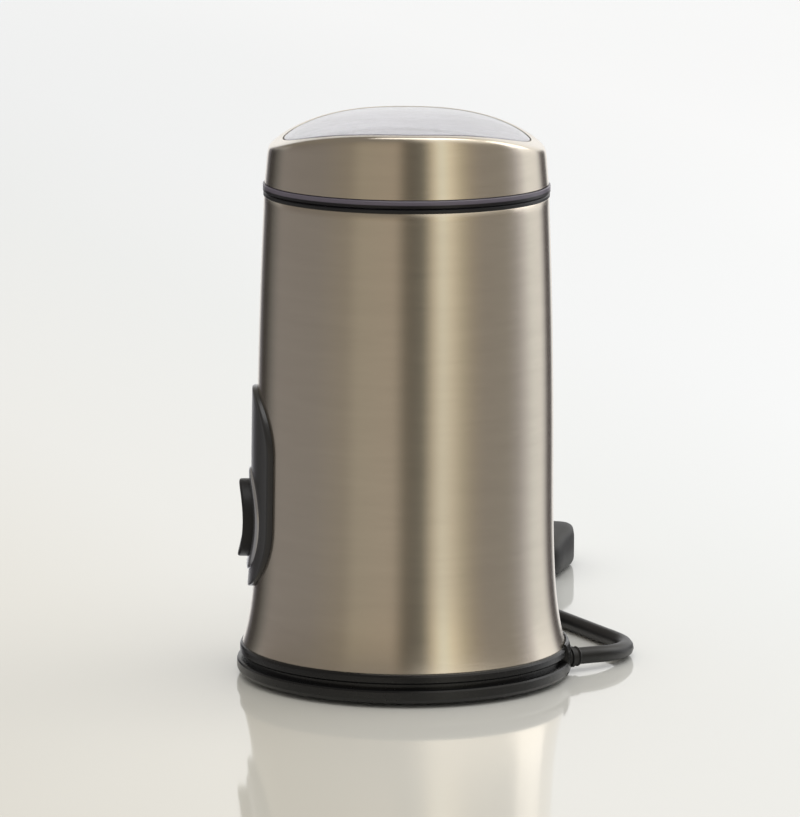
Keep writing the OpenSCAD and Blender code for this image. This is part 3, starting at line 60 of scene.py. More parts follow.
def toned(code, gain):
    """A hex code as a linear colour, made darker or lighter."""
    return (*[min(1, c * gain) for c in linear(code)[:3]], 1)


def add(tree, kind, inputs=None, stops=None, **settings):
    """Adds one shader node, with its settings, its ramp's stops and its links."""
    made = tree.nodes.new("ShaderNode" + kind)
    for name, value in settings.items():
        setattr(made, name, value)
    for name, value in (inputs or {}).items():
        if isinstance(value, bpy.types.NodeSocket):
            tree.links.new(made.inputs[name], value)
        else:
            made.inputs[name].default_value = value
    for i, (place, colour) in enumerate(stops or ()):
        element = made.color_ramp.elements[i] if i < 2 else made.color_ramp.elements.new(place)
        element.position = place
        element.color = colour
    return made


def new_material(name):
    """A new material, its node tree and its main shader."""
    made = bpy.data.materials.new(name)
    made.use_nodes = True
    return made, made.node_tree, made.node_tree.nodes["Principled BSDF"]


# The lens and its place: angles in radians, distances from the middle of the grinder's foot in metres
AZIMUTH, PITCH, ROLL = math.radians(90), 0.1691, -0.0057
FOCAL_PX, LONG_SIDE_PX, SENSOR_MM = 5569.5, 817, 36
LENS_AWAY, LENS_LEFT, LENS_UP = 1.633, 0.0016, 0.359
to_camera = Vector((math.sin(AZIMUTH), -math.cos(AZIMUTH), 0))
to_right = Vector((math.cos(AZIMUTH), math.sin(AZIMUTH), 0))
look = -to_camera * math.cos(PITCH) - Vector((0, 0, math.sin(PITCH)))
lens_up = to_right.cross(look)
camera_x = to_right * math.cos(ROLL) - lens_up * math.sin(ROLL)
camera_y = to_right * math.sin(ROLL) + lens_up * math.cos(ROLL)
camera_data = bpy.data.cameras.new("photo_camera")
camera_data.sensor_width = SENSOR_MM
camera_data.lens = SENSOR_MM * FOCAL_PX / LONG_SIDE_PX
camera_data.clip_end = 50
camera = bpy.data.objects.new("photo_camera", camera_data)
camera.matrix_world = (
    Matrix.Translation(to_camera * LENS_AWAY - to_right * LENS_LEFT + Vector((0, 0, LENS_UP)))
    @ Matrix((camera_x, camera_y, -look)).transposed().to_4x4()
)
scene.collection.objects.link(camera)
scene.camera = camera
scene.view_settings.view_transform = "Standard"

# What the metal mirrors: degrees from the camera's side round to the right, and the colour there. Dim warm
# screens stand behind the camera, a golden strip light to the right, dark flags beside the white backdrop.
PANORAMA = [
    (-180, "ffffff"), (-167, "ffffff"), (-160, "7a787f"), (-150, "3b3836"), (-142, "3e3b39"),
    (-132, "6d6c6b"), (-120, "8b8887"), (-75, "8b8886"), (-48, "928d85"), (-38, "a19c92"),
    (-9, "a59e94"), (1, "706b62"), (7, "6d6962"), (13, "6d6c65"), (20, "b1ab9e"),
    (28, "d6d2c6"), (36, "c7c1b4"), (45, "aca799"), (54, "989288"), (64, "8e8a85"),
    (86, "8e8b86"), (98, "9a9898"), (108, "bbbabc"), (118, "d7dadb"), (132, "e4e4e4"),
    (139, "bababc"), (145, "575153"), (157, "413e40"), (164, "ffffff"), (180, "ffffff"),
]
WHITE = (1, 1, 1, 1)
DIM_SCREEN = linear("7f7a73")
EVEN_LIGHT = (0.84, 0.84, 0.83, 1)
world = bpy.data.worlds.new("studio")
scene.world = world
world.use_nodes = True
sky = world.node_tree
sky.nodes.clear()


def fade(value, start, end):
    """A soft step from 0 to 1 as a value goes from start to end."""
    span = {"Value": value, "From Min": start, "From Max": end}
    return add(sky, "MapRange", span, interpolation_type="SMOOTHSTEP").outputs[0]


def both(first, second):
    """A share that is high only where two others are."""
    return add(sky, "Math", {0: first, 1: second}, operation="MULTIPLY").outputs[0]


def mixed(share, low, high, **settings):
    """One colour turning into another."""
    return add(sky, "Mix", {0: share, 6: low, 7: high}, data_type="RGBA", **settings).outputs[2]


def scaled(colour, gain, **settings):
    """A colour made darker or lighter."""
    return mixed(1.0, colour, (gain, gain, gain, 1), blend_type="MULTIPLY", **settings)


ray = add(sky, "TexCoord").outputs["Generated"]
rightward = add(sky, "VectorMath", {0: ray, 1: to_right}, operation="DOT_PRODUCT").outputs["Value"]
forward = add(sky, "VectorMath", {0: ray, 1: to_camera}, operation="DOT_PRODUCT").outputs["Value"]
height = add(sky, "SeparateXYZ", {0: ray}).outputs["Z"]
turn = add(sky, "Math", {0: rightward, 1: forward}, operation="ARCTAN2").outputs[0]
share = add(sky, "MapRange", {"Value": turn, "From Min": -math.pi, "From Max": math.pi}).outputs[0]
stops = [((angle + 180) / 360, linear(code)) for angle, code in PANORAMA]
walls = add(sky, "ValToRGB", {"Fac": share}, stops=stops).outputs[0]
# Above eye level the screens stand out more, the flag on the right ends and the one on the left pales
contrast = add(sky, "Gamma", {"Color": walls, "Gamma": 1.8}).outputs[0]
studio = mixed(fade(height, -0.09, 0.05), walls, scaled(contrast, 2.6, clamp_result=True))
right_back = both(fade(forward, -0.5, -0.62), fade(rightward, 0, 0.1))
studio = mixed(both(right_back, fade(height, 0, 0.12)), studio, WHITE)
left_back = both(fade(forward, -0.45, -0.6), fade(rightward, 0, -0.2))
studio = mixed(both(left_back, fade(height, 0.02, 0.14)), studio, mixed(0.3, studio, WHITE))
# Higher up the front dims, a screen leans over from the left, and the one light above hangs to the right
high_front = both(fade(forward, -0.5, -0.2), fade(height, 0.08, 0.15))
studio = mixed(high_front, studio, scaled(studio, 0.78))
left_above = both(fade(rightward, -0.02, -0.22), fade(height, 0.16, 0.34))
studio = mixed(left_above, studio, DIM_SCREEN)
ceiling = mixed(fade(rightward, -0.05, 0.45), DIM_SCREEN, linear("f9f5ec"))
studio = mixed(fade(height, 0.27, 0.5), studio, ceiling)
# Only mirrors and the clear window see this studio, the window a little harder lit. Matt surfaces get an even
# light, and the camera sees white
path = add(sky, "LightPath").outputs
glossy, through = path["Is Glossy Ray"], path["Is Transmission Ray"]
studio = mixed(through, studio, scaled(studio, 1.26))
mirrored = add(sky, "Math", {0: glossy, 1: through}, operation="MAXIMUM").outputs[0]
seen = mixed(path["Is Camera Ray"], mixed(mirrored, EVEN_LIGHT, studio), WHITE)
light = add(sky, "Background", {"Color": seen, "Strength": 1.0})
add(sky, "OutputWorld", {"Surface": light.outputs[0]})

LAMP_AIM = Vector((0, 0, 0.08))
for name, place, size, watts in (
    ("overhead_softbox", to_right * 0.2 + to_camera * 0.1 + Vector((0, 0, 1.3)), 1.1, 5.5),
    ("side_softbox", to_right * 1.1 - to_camera * 0.5 + Vector((0, 0, 0.8)), 0.8, 2.5),
):
    lamp_data = bpy.data.lights.new(name, "AREA")
    lamp_data.size = size
    lamp_data.energy = watts
    lamp = bpy.data.objects.new(name, lamp_data)
    lamp.location = place
    lamp.rotation_euler = (LAMP_AIM - place).to_track_quat("-Z", "Y").to_euler()
    scene.collection.objects.link(lamp)

TABLE_HALF = 9
bm = bmesh.new()
bmesh.ops.create_grid(bm, x_segments=1, y_segments=1, size=TABLE_HALF)
mesh = bpy.data.meshes.new("table")
bm.to_mesh(mesh)
bm.free()
table = bpy.data.objects.new("table", mesh)
scene.collection.objects.link(table)
# Lacquered board: a clear hard surface over a warm white. Its colour pales towards the backdrop and the
# right: painted light, for the light that falls stronger there
lacquer, tree, shader = new_material("lacquered_board_painted_falloff")
place = add(tree, "TexCoord").outputs["Object"]
away = add(tree, "VectorMath", {0: place, 1: to_right * 3 - to_camera}, operation="DOT_PRODUCT")
reach = add(tree, "MapRange", {"Value": away.outputs["Value"], "From Min": -0.5, "From Max": 2.7})
pale = add(
    tree, "ValToRGB", {"Fac": reach.outputs[0]},
    stops=[
        (0, linear("cdc8bb")), (0.08, linear("d4d0c5")), (0.156, linear("dad8d1")), (0.31, linear("dddedb")),
        (0.44, linear("e7e8e8")), (0.6, linear("eeefef")), (0.75, linear("fafafa")), (1, WHITE),
    ],
)
tree.links.new(shader.inputs["Base Color"], pale.outputs[0])
shader.inputs["Roughness"].default_value = 0.06
# Gloss mirrors the board only where it is near, as under the base. Further off it mirrors the studio
NEAR = 30 * MM
path = add(tree, "LightPath").outputs
near = add(tree, "Math", {0: path["Ray Length"], 1: NEAR}, operation="LESS_THAN").outputs[0]
far = add(tree, "Math", {0: path["Is Glossy Ray"], 1: near}, operation="SUBTRACT").outputs[0]
see_through = add(tree, "BsdfTransparent").outputs[0]
passing = add(tree, "MixShader", {0: far, 1: shader.outputs[0], 2: see_through}).outputs[0]
tree.links.new(tree.nodes["Material Output"].inputs["Surface"], passing)
mesh.materials.append(lacquer)


# ---------------------------------------------------------------- cord
# A two-core mains lead in satin black PVC, 5.2 mm thick. It leaves the base low at the back, runs round
# behind the grinder and lies there in a tied coil, whose two layers go in and come out again.
def moulded(name, code, gloss, grain=0.5, relief=0.04, spread=0.08):
    """Moulded plastic or rubber: one colour, broken up by the faint orange peel that its mould leaves."""
    made, tree, shader = new_material(name)
    place = add(tree, "TexCoord").outputs["Object"]
    peel = add(tree, "TexNoise", {"Vector": place, "Scale": 1 / (grain * MM), "Detail": 3.0})
    cloud = add(tree, "TexNoise", {"Vector": place, "Scale": 1 / (14 * MM), "Detail": 2.0})
    dark, pale = toned(code, 1 - spread), toned(code, 1 + spread)
    tint = add(tree, "Mix", {0: cloud.outputs["Fac"], 6: dark, 7: pale}, data_type="RGBA")
    rough = add(
        tree, "MapRange", {"Value": peel.outputs["Fac"], "To Min": gloss - 0.04, "To Max": gloss + 0.04}
    )
    bump = add(tree, "Bump", {"Height": peel.outputs["Fac"], "Strength": 0.3, "Distance": relief * MM})
    tree.links.new(shader.inputs["Base Color"], tint.outputs[2])
    tree.links.new(shader.inputs["Roughness"], rough.outputs[0])
    tree.links.new(shader.inputs["Normal"], bump.outputs[0])
    shader.inputs["IOR"].default_value = 1.5
    return made


CORD_D, LAYER_Z, LAYER_RISE = 5.2, 2.7, 6.5
COIL_X, COIL_Y, COIL_R = -94, 8, 34.8
TURNS, TURN_STEPS, TURN_PITCH, COIL_START = 4, 24, 5.8, 90
TIE_ANGLE, TIE_LIFT, TIE_SPREAD = 235, 0.6, 16
LEAD = [
    (-3.53, 52.1, 4.5), (-6, 56.3, 4.4), (-8.2, 59.4, 4.2), (-11, 62.2, 3.9), (-14.2, 64.4, 3.6),
    (-17.8, 66, 3.3), (-21.5, 67, 3), (-25.5, 67.3, 2.8), (-30, 66.8, 2.7), (-35, 65, 2.7),
    (-43, 60.9, 2.7), (-52, 56.3, 2.7), (-61, 51.7, 2.7), (-69, 47.6, 2.7), (-75, 45, 2.7),
    (-80.5, 43.2, 2.7), (-84.5, 42.8, 2.7), (-88.7, 42.8, 2.7),
]
TAIL = [
    (-99.3, 42.8, 9.2), (-102.5, 42.8, 9.2), (-106, 42.8, 8.7), (-111, 42.8, 7.3), (-114.5, 42.8, 6.85),
    (-117.9, 42.8, 6.85),
]
coil = []
for i in range(TURNS * TURN_STEPS + 1):
    t = i / TURN_STEPS
    degrees = COIL_START + 360 * t
    angle = math.radians(degrees)
    r = COIL_R - TURN_PITCH * min(t, TURNS - t)
    # Halfway along the coil, the cord climbs onto its second layer
    climb = max(0, min(1, (t - TURNS / 2 + 0.25) * 2))
    z = LAYER_Z + LAYER_RISE * climb ** 2 * (3 - 2 * climb)
    # The first layer lifts a little where the tie passes under it
    if t < TURNS / 2:
        off_tie = ((degrees - TIE_ANGLE + 180) % 360 - 180) / TIE_SPREAD
        z += TIE_LIFT * math.exp(-off_tie ** 2)
    coil.append((COIL_X + r * math.cos(angle), COIL_Y + r * math.sin(angle), z))
route = LEAD + coil + TAIL
curve = bpy.data.curves.new("mains_cord", "CURVE")
curve.dimensions = "3D"
curve.bevel_depth = CORD_D / 2 * MM
curve.bevel_resolution = 4
curve.resolution_u = 5
curve.use_fill_caps = True
spline = curve.splines.new("BEZIER")
spline.bezier_points.add(len(route) - 1)
for point, place in zip(spline.bezier_points, route):
    point.co = Vector(place) * MM
    point.handle_left_type = point.handle_right_type = "AUTO"
cord = bpy.data.objects.new("mains_cord", curve)
scene.collection.objects.link(cord)
curve.materials.append(moulded("extruded_pvc", "151515", 0.38, grain=0.8))
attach(cord, "housing")
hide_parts("cord_lead", "cord_coil", "cord_tail")


# ---------------------------------------------------------------- strain relief
# A soft sleeve of black rubber, moulded onto the cord, with a flange and a neck that the base plate grips.
# Rings cut into its tapered end let it bend by degrees.
def arc(r, z, radius, start, end, steps=6):
    """Points of an arc in a profile, from one angle to another."""
    angles = [math.radians(start + (end - start) * i / steps) for i in range(steps + 1)]
    return [(r + radius * math.cos(a), z + radius * math.sin(a)) for a in angles]


def spun(profile, closed=True, steps=192):
    """A profile of (radius, height) points in mm, spun round Z into a closed skin."""
    bm = bmesh.new()
    verts = [bm.verts.new((r, 0, z)) for r, z in profile]
    edges = [bm.edges.new(pair) for pair in zip(verts, verts[1:] + (verts[:1] if closed else []))]
    bmesh.ops.spin(
        bm, geom=verts + edges, cent=(0, 0, 0), axis=(0, 0, 1), angle=2 * math.pi, steps=steps, use_merge=True
    )
    bmesh.ops.remove_doubles(bm, verts=bm.verts, dist=0.0005)
    bmesh.ops.recalc_face_normals(bm, faces=bm.faces)
    return bm


def piece(name, bm, material, body, slot, *nodes, crease=32, place=None):
    """An object of a mesh in mm, smooth but for its creases, that rides on a body for some CAD nodes."""
    if place:
        bm.transform(place)
    bm.transform(Matrix.Scale(MM, 4))
    mesh = bpy.data.meshes.new(name)
    bm.to_mesh(mesh)
    bm.free()
    mesh.shade_smooth()
    mesh.set_sharp_from_angle(angle=math.radians(crease))
    mesh.materials.append(material)
    made = bpy.data.objects.new(name, mesh)
    scene.collection.objects.link(made)
    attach(made, body)
    if nodes:
        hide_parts(*nodes)
    return made


RELIEF_R, RELIEF_TAPER, RIBS, RIB_PITCH = 3.9, 0.034, 8, 2.3
OUTLET_Y, OUTLET_TURN, OUTLET_Z = 46, math.radians(30), 4.5
CHANNEL = Matrix.Translation((0, OUTLET_Y, OUTLET_Z)) @ Matrix.Rotation(OUTLET_TURN, 4, "Z")
ALONG_CHANNEL = CHANNEL @ Matrix.Rotation(math.radians(-90), 4, "X")
# Radius, and distance along the channel: the flange inside, the gripped neck, then the ribbed taper
profile = [
    (0, -23.9), (4.1, -23.9), (4.1, -20.05), (3, -20.05), (3, -17.95), (RELIEF_R, -17.95), (RELIEF_R, -14),
]
for i in range(RIBS):
    z = -12 + i * RIB_PITCH
    r = RELIEF_R - RELIEF_TAPER * (z + 18)
    profile += [(r, z), (r, z + 1.1), (r - 0.55, z + 1.35), (r - 0.55, z + 2.05)]
profile += [(3.05, 6.6), (2.85, 7), (0, 7)]
cord_rubber = moulded("moulded_rubber", "181818", 0.5, grain=0.6, relief=0.06)
relief = piece(
    "cord_relief", spun(profile, closed=False, steps=48), cord_rubber, "housing", "cord_black",
    "strain_relief", place=ALONG_CHANNEL,
)


# ---------------------------------------------------------------- plug
# A flat two-pin mains plug, moulded onto the cord in the same rubber, with its own tapered relief. Its pins
# are nickel-plated brass, 4 mm thick, and sleeved in plastic over their inner half.
def loft(rings):
    """A closed skin through rings of points in mm: the ends are closed, and neighbours are joined."""
    bm = bmesh.new()
    loop = bmesh.ops.create_circle(bm, segments=len(rings[0]), radius=1)["verts"]
    edges = list(bm.edges)
    for vert, point in zip(loop, rings[0]):
        vert.co = point
    bmesh.ops.contextual_create(bm, geom=loop)
    for ring in rings[1:]:
        made = bmesh.ops.extrude_edge_only(bm, edges=edges)["geom"]
        fresh = {item for item in made if isinstance(item, bmesh.types.BMVert)}
        edges = [e for e in made if isinstance(e, bmesh.types.BMEdge) and set(e.verts) <= fresh]
        loop = [next(e.other_vert(v) for e in v.link_edges if e.other_vert(v) in fresh) for v in loop]
        for vert, point in zip(loop, ring):
            vert.co = point
    bmesh.ops.contextual_create(bm, geom=loop)
    bmesh.ops.recalc_face_normals(bm, faces=bm.faces)
    return bm


def rounded_ring(x, half_y, half_z, power, sides=64):
    """A rounded rectangle round the X axis: power 2 is an ellipse, and more is squarer."""
    points = []
    for i in range(sides):
        c, s = math.cos(math.tau * i / sides), math.sin(math.tau * i / sides)
        y = math.copysign(abs(c) ** (2 / power), c) * half_y
        z = math.copysign(abs(s) ** (2 / power), s) * half_z
        points.append((x, y, z))
    return points


PLUG_TIP, PLUG_Y, PLUG_Z, PLUG_L = -118, 42.8, 6.85, 55
PIN_R, PIN_L, PIN_ROUND, PIN_ROOT, PIN_SIDE = 1.99, 18.99, 0.99, -7.8, 9.3
PLUG_RIBS, RIB_SHAPE = 6, ((0, 0), (1.4, 0.1), (1.7, -0.6), (2.6, -0.5))
# Each station: how far along, half the width, half the height, and how square
stations = [(0, 2.4, 2.4, 2), (0.3, 3.05, 3.05, 2)]
for i in range(PLUG_RIBS):
    s = 1.5 + i * 3
    r = 3.1 + s * 0.09
    stations += [(s + along, r + out, r + out, 2) for along, out in RIB_SHAPE]
stations += [
    (19.6, 5, 5, 2.1), (20.4, 6.2, 5.6, 2.3), (21.6, 7.3, 6.1, 2.6), (24, 8.4, 6.5, 3), (28, 9.3, 6.75, 3.6),
    (33, 10.3, 6.85, 4.2), (38, 11.6, 6.85, 4.8), (43, 12.8, 6.85, 5.4), (46, 13.1, 6.85, 6),
    (52.5, 13.1, 6.85, 6), (53.8, 12.9, 6.7, 6), (54.6, 12.4, 6.3, 6), (PLUG_L, 11.4, 5.4, 6),
]
place = Matrix.Translation((PLUG_TIP, PLUG_Y, PLUG_Z)) @ Matrix.Scale(-1, 4, (1, 0, 0))
bm = loft([rounded_ring(*station) for station in stations])
# It is mirrored into place, so its faces have to be turned outward again
bm.transform(place)
bmesh.ops.recalc_face_normals(bm, faces=bm.faces)
plug = piece("plug", bm, cord_rubber, "housing", "plug_black", "plug_body", crease=50)

pins, sleeves = bmesh.new(), bmesh.new()
pin_profile = [
    (0, PIN_ROOT), (PIN_R, PIN_ROOT), (PIN_R, 17.6),
    *arc(PIN_R - PIN_ROUND, PIN_L - PIN_ROUND, PIN_ROUND, 0, 90), (0, PIN_L),
]
sleeve_profile = [(1.95, -0.5), (2.12, -0.5), (2.12, 9.8), (2.0, 10)]
for side in (-PIN_SIDE, PIN_SIDE):
    root = Matrix.Translation((PLUG_TIP - PLUG_L, PLUG_Y + side, PLUG_Z))
    into = root @ Matrix.Rotation(math.radians(-90), 4, "Y")
    for target, outline in ((pins, pin_profile), (sleeves, sleeve_profile)):
        part = spun(outline, closed=target is sleeves, steps=40)
        part.transform(into)
        scratch = bpy.data.meshes.new("scratch")
        part.to_mesh(scratch)
        part.free()
        target.from_mesh(scratch)
        bpy.data.meshes.remove(scratch)


def metal(name, code, rough, tooling, depth=0.01):
    """Bare metal with the fine marks of its making, whose sizes along X, Y and Z are given in mm."""
    made, tree, shader = new_material(name)
    place = add(tree, "TexCoord").outputs["Object"]
    stretch = add(tree, "Mapping", {"Vector": place, "Scale": [1 / (size * MM) for size in tooling]})
    marks = add(
        tree, "TexNoise", {"Vector": stretch.outputs[0], "Scale": 1.0, "Detail": 4.0, "Roughness": 0.6}
    )
    dark, pale = toned(code, 0.9), toned(code, 1.08)
    tint = add(tree, "Mix", {0: marks.outputs["Fac"], 6: dark, 7: pale}, data_type="RGBA")
    spread = add(
        tree, "MapRange", {"Value": marks.outputs["Fac"], "To Min": rough - 0.06, "To Max": rough + 0.06}
    )
    bump = add(tree, "Bump", {"Height": marks.outputs["Fac"], "Strength": 0.25, "Distance": depth * MM})
    tree.links.new(shader.inputs["Base Color"], tint.outputs[2])
    tree.links.new(shader.inputs["Roughness"], spread.outputs[0])
    tree.links.new(shader.inputs["Normal"], bump.outputs[0])
    shader.inputs["Metallic"].default_value = 1
    return made


nickel = metal("nickel_plate", "cfcabd", 0.22, (6, 0.8, 0.8))
plug_pins = piece("plug_pins_plated", pins, nickel, "housing", "pin_metal", "plug_pins")
pin_sleeves = piece("pin_sleeves", sleeves, cord_rubber, "housing", "plug_black")


# ---------------------------------------------------------------- cord tie
# A strip of black hook-and-loop tape, 6 mm wide, wrapped once round all four turns of the coil.
TAPE_W, TAPE_T, TIE_CORNER = 6, 0.3, 2.2
turn_share = (TIE_ANGLE - COIL_START) % 360 / 360
TIE_IN = COIL_R - TURN_PITCH * (TURNS / 2 - turn_share) - CORD_D / 2 - 0.7
TIE_OUT = COIL_R - TURN_PITCH * turn_share + CORD_D / 2 + 0.4
TIE_LOW, TIE_TOP = 0.3, 12.3
left, right = TIE_IN + TIE_CORNER, TIE_OUT - TIE_CORNER
low, high = TIE_LOW + TIE_CORNER, TIE_TOP - TIE_CORNER
outline = (
    arc(left, low, TIE_CORNER, 270, 180) + arc(left, high, TIE_CORNER, 180, 90)
    + arc(right, high, TIE_CORNER, 90, 0) + arc(right, low, TIE_CORNER, 0, -90)
)
bm = bmesh.new()
verts = [bm.verts.new((r, -TAPE_W / 2, z)) for r, z in outline]
edges = [bm.edges.new(pair) for pair in zip(verts, verts[1:] + verts[:1])]
made = bmesh.ops.extrude_edge_only(bm, edges=edges)["geom"]
bmesh.ops.translate(bm, verts=[v for v in made if isinstance(v, bmesh.types.BMVert)], vec=(0, TAPE_W, 0))
bmesh.ops.recalc_face_normals(bm, faces=bm.faces)
bmesh.ops.solidify(bm, geom=bm.faces[:], thickness=-TAPE_T)
bmesh.ops.recalc_face_normals(bm, faces=bm.faces)
place = Matrix.Translation((COIL_X, COIL_Y, 0)) @ Matrix.Rotation(math.radians(TIE_ANGLE), 4, "Z")
tape = moulded("woven_tape", "26262a", 0.8, grain=0.35, relief=0.15)
tie = piece("cord_tie_tape", bm, tape, "housing", "tie_black", "cord_tie", place=place)


# ---------------------------------------------------------------- base
# Feet of soft rubber, pressed into a base plate and an upper ring of glossy black ABS with a groove between
# them. Three screws go up into the frame, and slots let the motor's air out.
gloss_black = moulded("gloss_abs", "0d0d0e", 0.26, grain=1.2, relief=0.02)
soft_rubber = moulded("foot_rubber", "202020", 0.75, grain=0.4, relief=0.08)
zinc = metal("zinc_plate", "a9abad", 0.34, (0.7, 0.7, 0.7))


def finish(material, *nodes):
    """Gives carried-over CAD nodes their material."""
    for node in nodes:
        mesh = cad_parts[node].data
        mesh.materials.clear()
        mesh.materials.append(material)


finish(gloss_black, "base_plate", "base_ring", "cord_outlet")
finish(soft_rubber, "rubber_feet")
finish(zinc, "base_screws")


# ---------------------------------------------------------------- steel shell
# Deep-drawn stainless steel, 0.7 mm thick, with a warm champagne tone. It is brushed round and round on a
# lathe, so its grain lies level, and mirrored lights blur upwards but keep their edges from side to side.
SHELL_Z, SHELL_TOP, SHELL_R, SHEET = 9.8, 144.2, 44.15, 0.7
FLARE, FLARE_H = 4.2, 13.3
TAPER, TAPER_Z = 2, 60


def shell_r(z):
    """The shell's radius at a height: flared at the foot, drawn in towards the top."""
    flare = FLARE * math.exp(-(z - SHELL_Z) / FLARE_H)
    return SHELL_R + flare - TAPER * (max(0, z - TAPER_Z) / (SHELL_TOP - TAPER_Z)) ** 2


def brushed_steel(name, code):
    """Steel brushed round the Z axis, with fine level lines and fainter, wider bands."""
    made, tree, shader = new_material(name)
    place = add(tree, "TexCoord").outputs["Object"]
    # Grit 180 leaves lines about 0.1 mm apart; they are drawn three times as coarse, so that they show
    stretch = add(tree, "Mapping", {"Vector": place, "Scale": (1 / (9 * MM), 1 / (9 * MM), 1 / (0.3 * MM))})
    lines = add(
        tree, "TexNoise", {"Vector": stretch.outputs[0], "Scale": 1.0, "Detail": 5.0, "Roughness": 0.65}
    )
    patches = add(tree, "Mapping", {"Vector": place, "Scale": (1 / (30 * MM), 1 / (30 * MM), 1 / (4 * MM))})
    bands = add(tree, "TexNoise", {"Vector": patches.outputs[0], "Scale": 1.0, "Detail": 2.0})
    grain = add(tree, "Math", {0: lines.outputs["Fac"], 1: bands.outputs["Fac"]}, operation="ADD")
    share = add(tree, "Math", {0: grain.outputs[0], 1: 0.5}, operation="MULTIPLY").outputs[0]
    tint = add(tree, "ValToRGB", {"Fac": share}, stops=[(0.25, toned(code, 0.95)), (0.75, toned(code, 1.05))])
    rough = add(tree, "MapRange", {"Value": lines.outputs["Fac"], "To Min": 0.19, "To Max": 0.29})
    bump = add(tree, "Bump", {"Height": lines.outputs["Fac"], "Strength": 0.1, "Distance": 0.01 * MM})
    tangent = add(tree, "Tangent", direction_type="RADIAL", axis="Z")
    tree.links.new(shader.inputs["Base Color"], tint.outputs[0])
    tree.links.new(shader.inputs["Roughness"], rough.outputs[0])
    tree.links.new(shader.inputs["Normal"], bump.outputs[0])
    tree.links.new(shader.inputs["Tangent"], tangent.outputs[0])
    shader.inputs["Metallic"].default_value = 1
    shader.inputs["Anisotropic"].default_value = 0.8
    shader.inputs["Anisotropic Rotation"].default_value = 0.25
    return made


champagne_steel = brushed_steel("brushed_stainless", "e6dccc")
# Closer together at the foot, where the shell flares
heights = [SHELL_Z + 0.2 + (SHELL_TOP - SHELL_Z - 0.4) * (i / 90) ** 1.5 for i in range(91)]
outside = [(shell_r(z), z) for z in heights]
inside = [(shell_r(z) - SHEET, z) for z in reversed(heights)]
# The sheet's cut edges are a little rounded
SOFT = 0.12
foot_r, top_r = shell_r(SHELL_Z), shell_r(SHELL_TOP)
profile = (
    [(foot_r - SOFT, SHELL_Z)] + outside + [(top_r - SOFT, SHELL_TOP), (top_r - SHEET + SOFT, SHELL_TOP)]
    + inside + [(foot_r - SHEET + SOFT, SHELL_Z)]
)
shell = piece("steel_shell", spun(profile), champagne_steel, "housing", "champagne_steel", "body_shell")

# The hole that the button works in
BUTTON_Z, HOLE_R, HOLE_Y, HOLE_L = 47.1, 13.45, -44, 20
hole_place = Matrix.Translation((0, HOLE_Y * MM, BUTTON_Z * MM)) @ Matrix.Rotation(math.radians(90), 4, "X")
cutter_mesh = bpy.data.meshes.new("cutter")
bm = bmesh.new()
bmesh.ops.create_cone(
    bm, cap_ends=True, segments=96, radius1=HOLE_R * MM, radius2=HOLE_R * MM, depth=HOLE_L * MM,
    matrix=hole_place,
)
bm.to_mesh(cutter_mesh)
bm.free()
cutter = bpy.data.objects.new("cutter", cutter_mesh)
scene.collection.objects.link(cutter)
hole = shell.modifiers.new("button_hole", "BOOLEAN")
hole.object = cutter
hole.solver = "EXACT"
bpy.context.view_layer.update()
shell.data = bpy.data.meshes.new_from_object(shell.evaluated_get(bpy.context.evaluated_depsgraph_get()))
shell.modifiers.clear()
bpy.data.objects.remove(cutter)


# ---------------------------------------------------------------- switch panel
# A tall oval plate of satin black ABS, curved to lie on the shell, with a rounded edge. It has a round hole
# for the bezel, and stands 1.6 mm proud of the steel.
PANEL_HALF, PANEL_MID, PANEL_DROP, PANEL_SIDE, PANEL_TIP = 21.2, 46.6, 20, 21.9, 18.5
PANEL_T, PANEL_EDGE, PANEL_HOLE_R, SEAT = 1.6, 0.6, 15.85, 0.05


def panel_outline(inset):
    """The oval's outline in front view, drawn in by a distance: two half ellipses and straight sides."""
    half, drop, tip = PANEL_HALF - inset, PANEL_DROP - inset, PANEL_TIP - inset
    turns = [math.radians(a) for a in range(0, 181, 4)]
    points = [(-half * math.cos(a), PANEL_MID - drop * math.sin(a)) for a in turns]
    points += [(half, PANEL_MID + PANEL_SIDE * i / 8) for i in range(1, 8)]
    points += [(half * math.cos(a), PANEL_MID + PANEL_SIDE + tip * math.sin(a)) for a in turns]
    points += [(-half, PANEL_MID + PANEL_SIDE * i / 8) for i in range(7, 0, -1)]
    return points


def on_shell(x, z, proud):
    """The point of the shell's front at x and z, raised by a distance."""
    return (x, -math.sqrt((shell_r(z) + proud) ** 2 - x * x), z)


def panel_ring(share, proud, inset=0):
    """A ring of the panel between its outline and its hole."""
    ring = []
    for x, z in panel_outline(inset):
        angle = math.atan2(z - BUTTON_Z, x)
        hole_x, hole_z = PANEL_HOLE_R * math.cos(angle), BUTTON_Z + PANEL_HOLE_R * math.sin(angle)
        ring.append(on_shell(x + (hole_x - x) * share, z + (hole_z - z) * share, proud))
    return ring


def tube_of_rings(rings):
    """A closed skin through rings of points in mm, whose last ring joins its first."""
    bm = loft(rings + [rings[0]])
    bmesh.ops.delete(bm, geom=[f for f in bm.faces if len(f.verts) > 4], context="FACES_ONLY")
    bmesh.ops.remove_doubles(bm, verts=bm.verts, dist=0.0005)
    bmesh.ops.recalc_face_normals(bm, faces=bm.faces)
    return bm


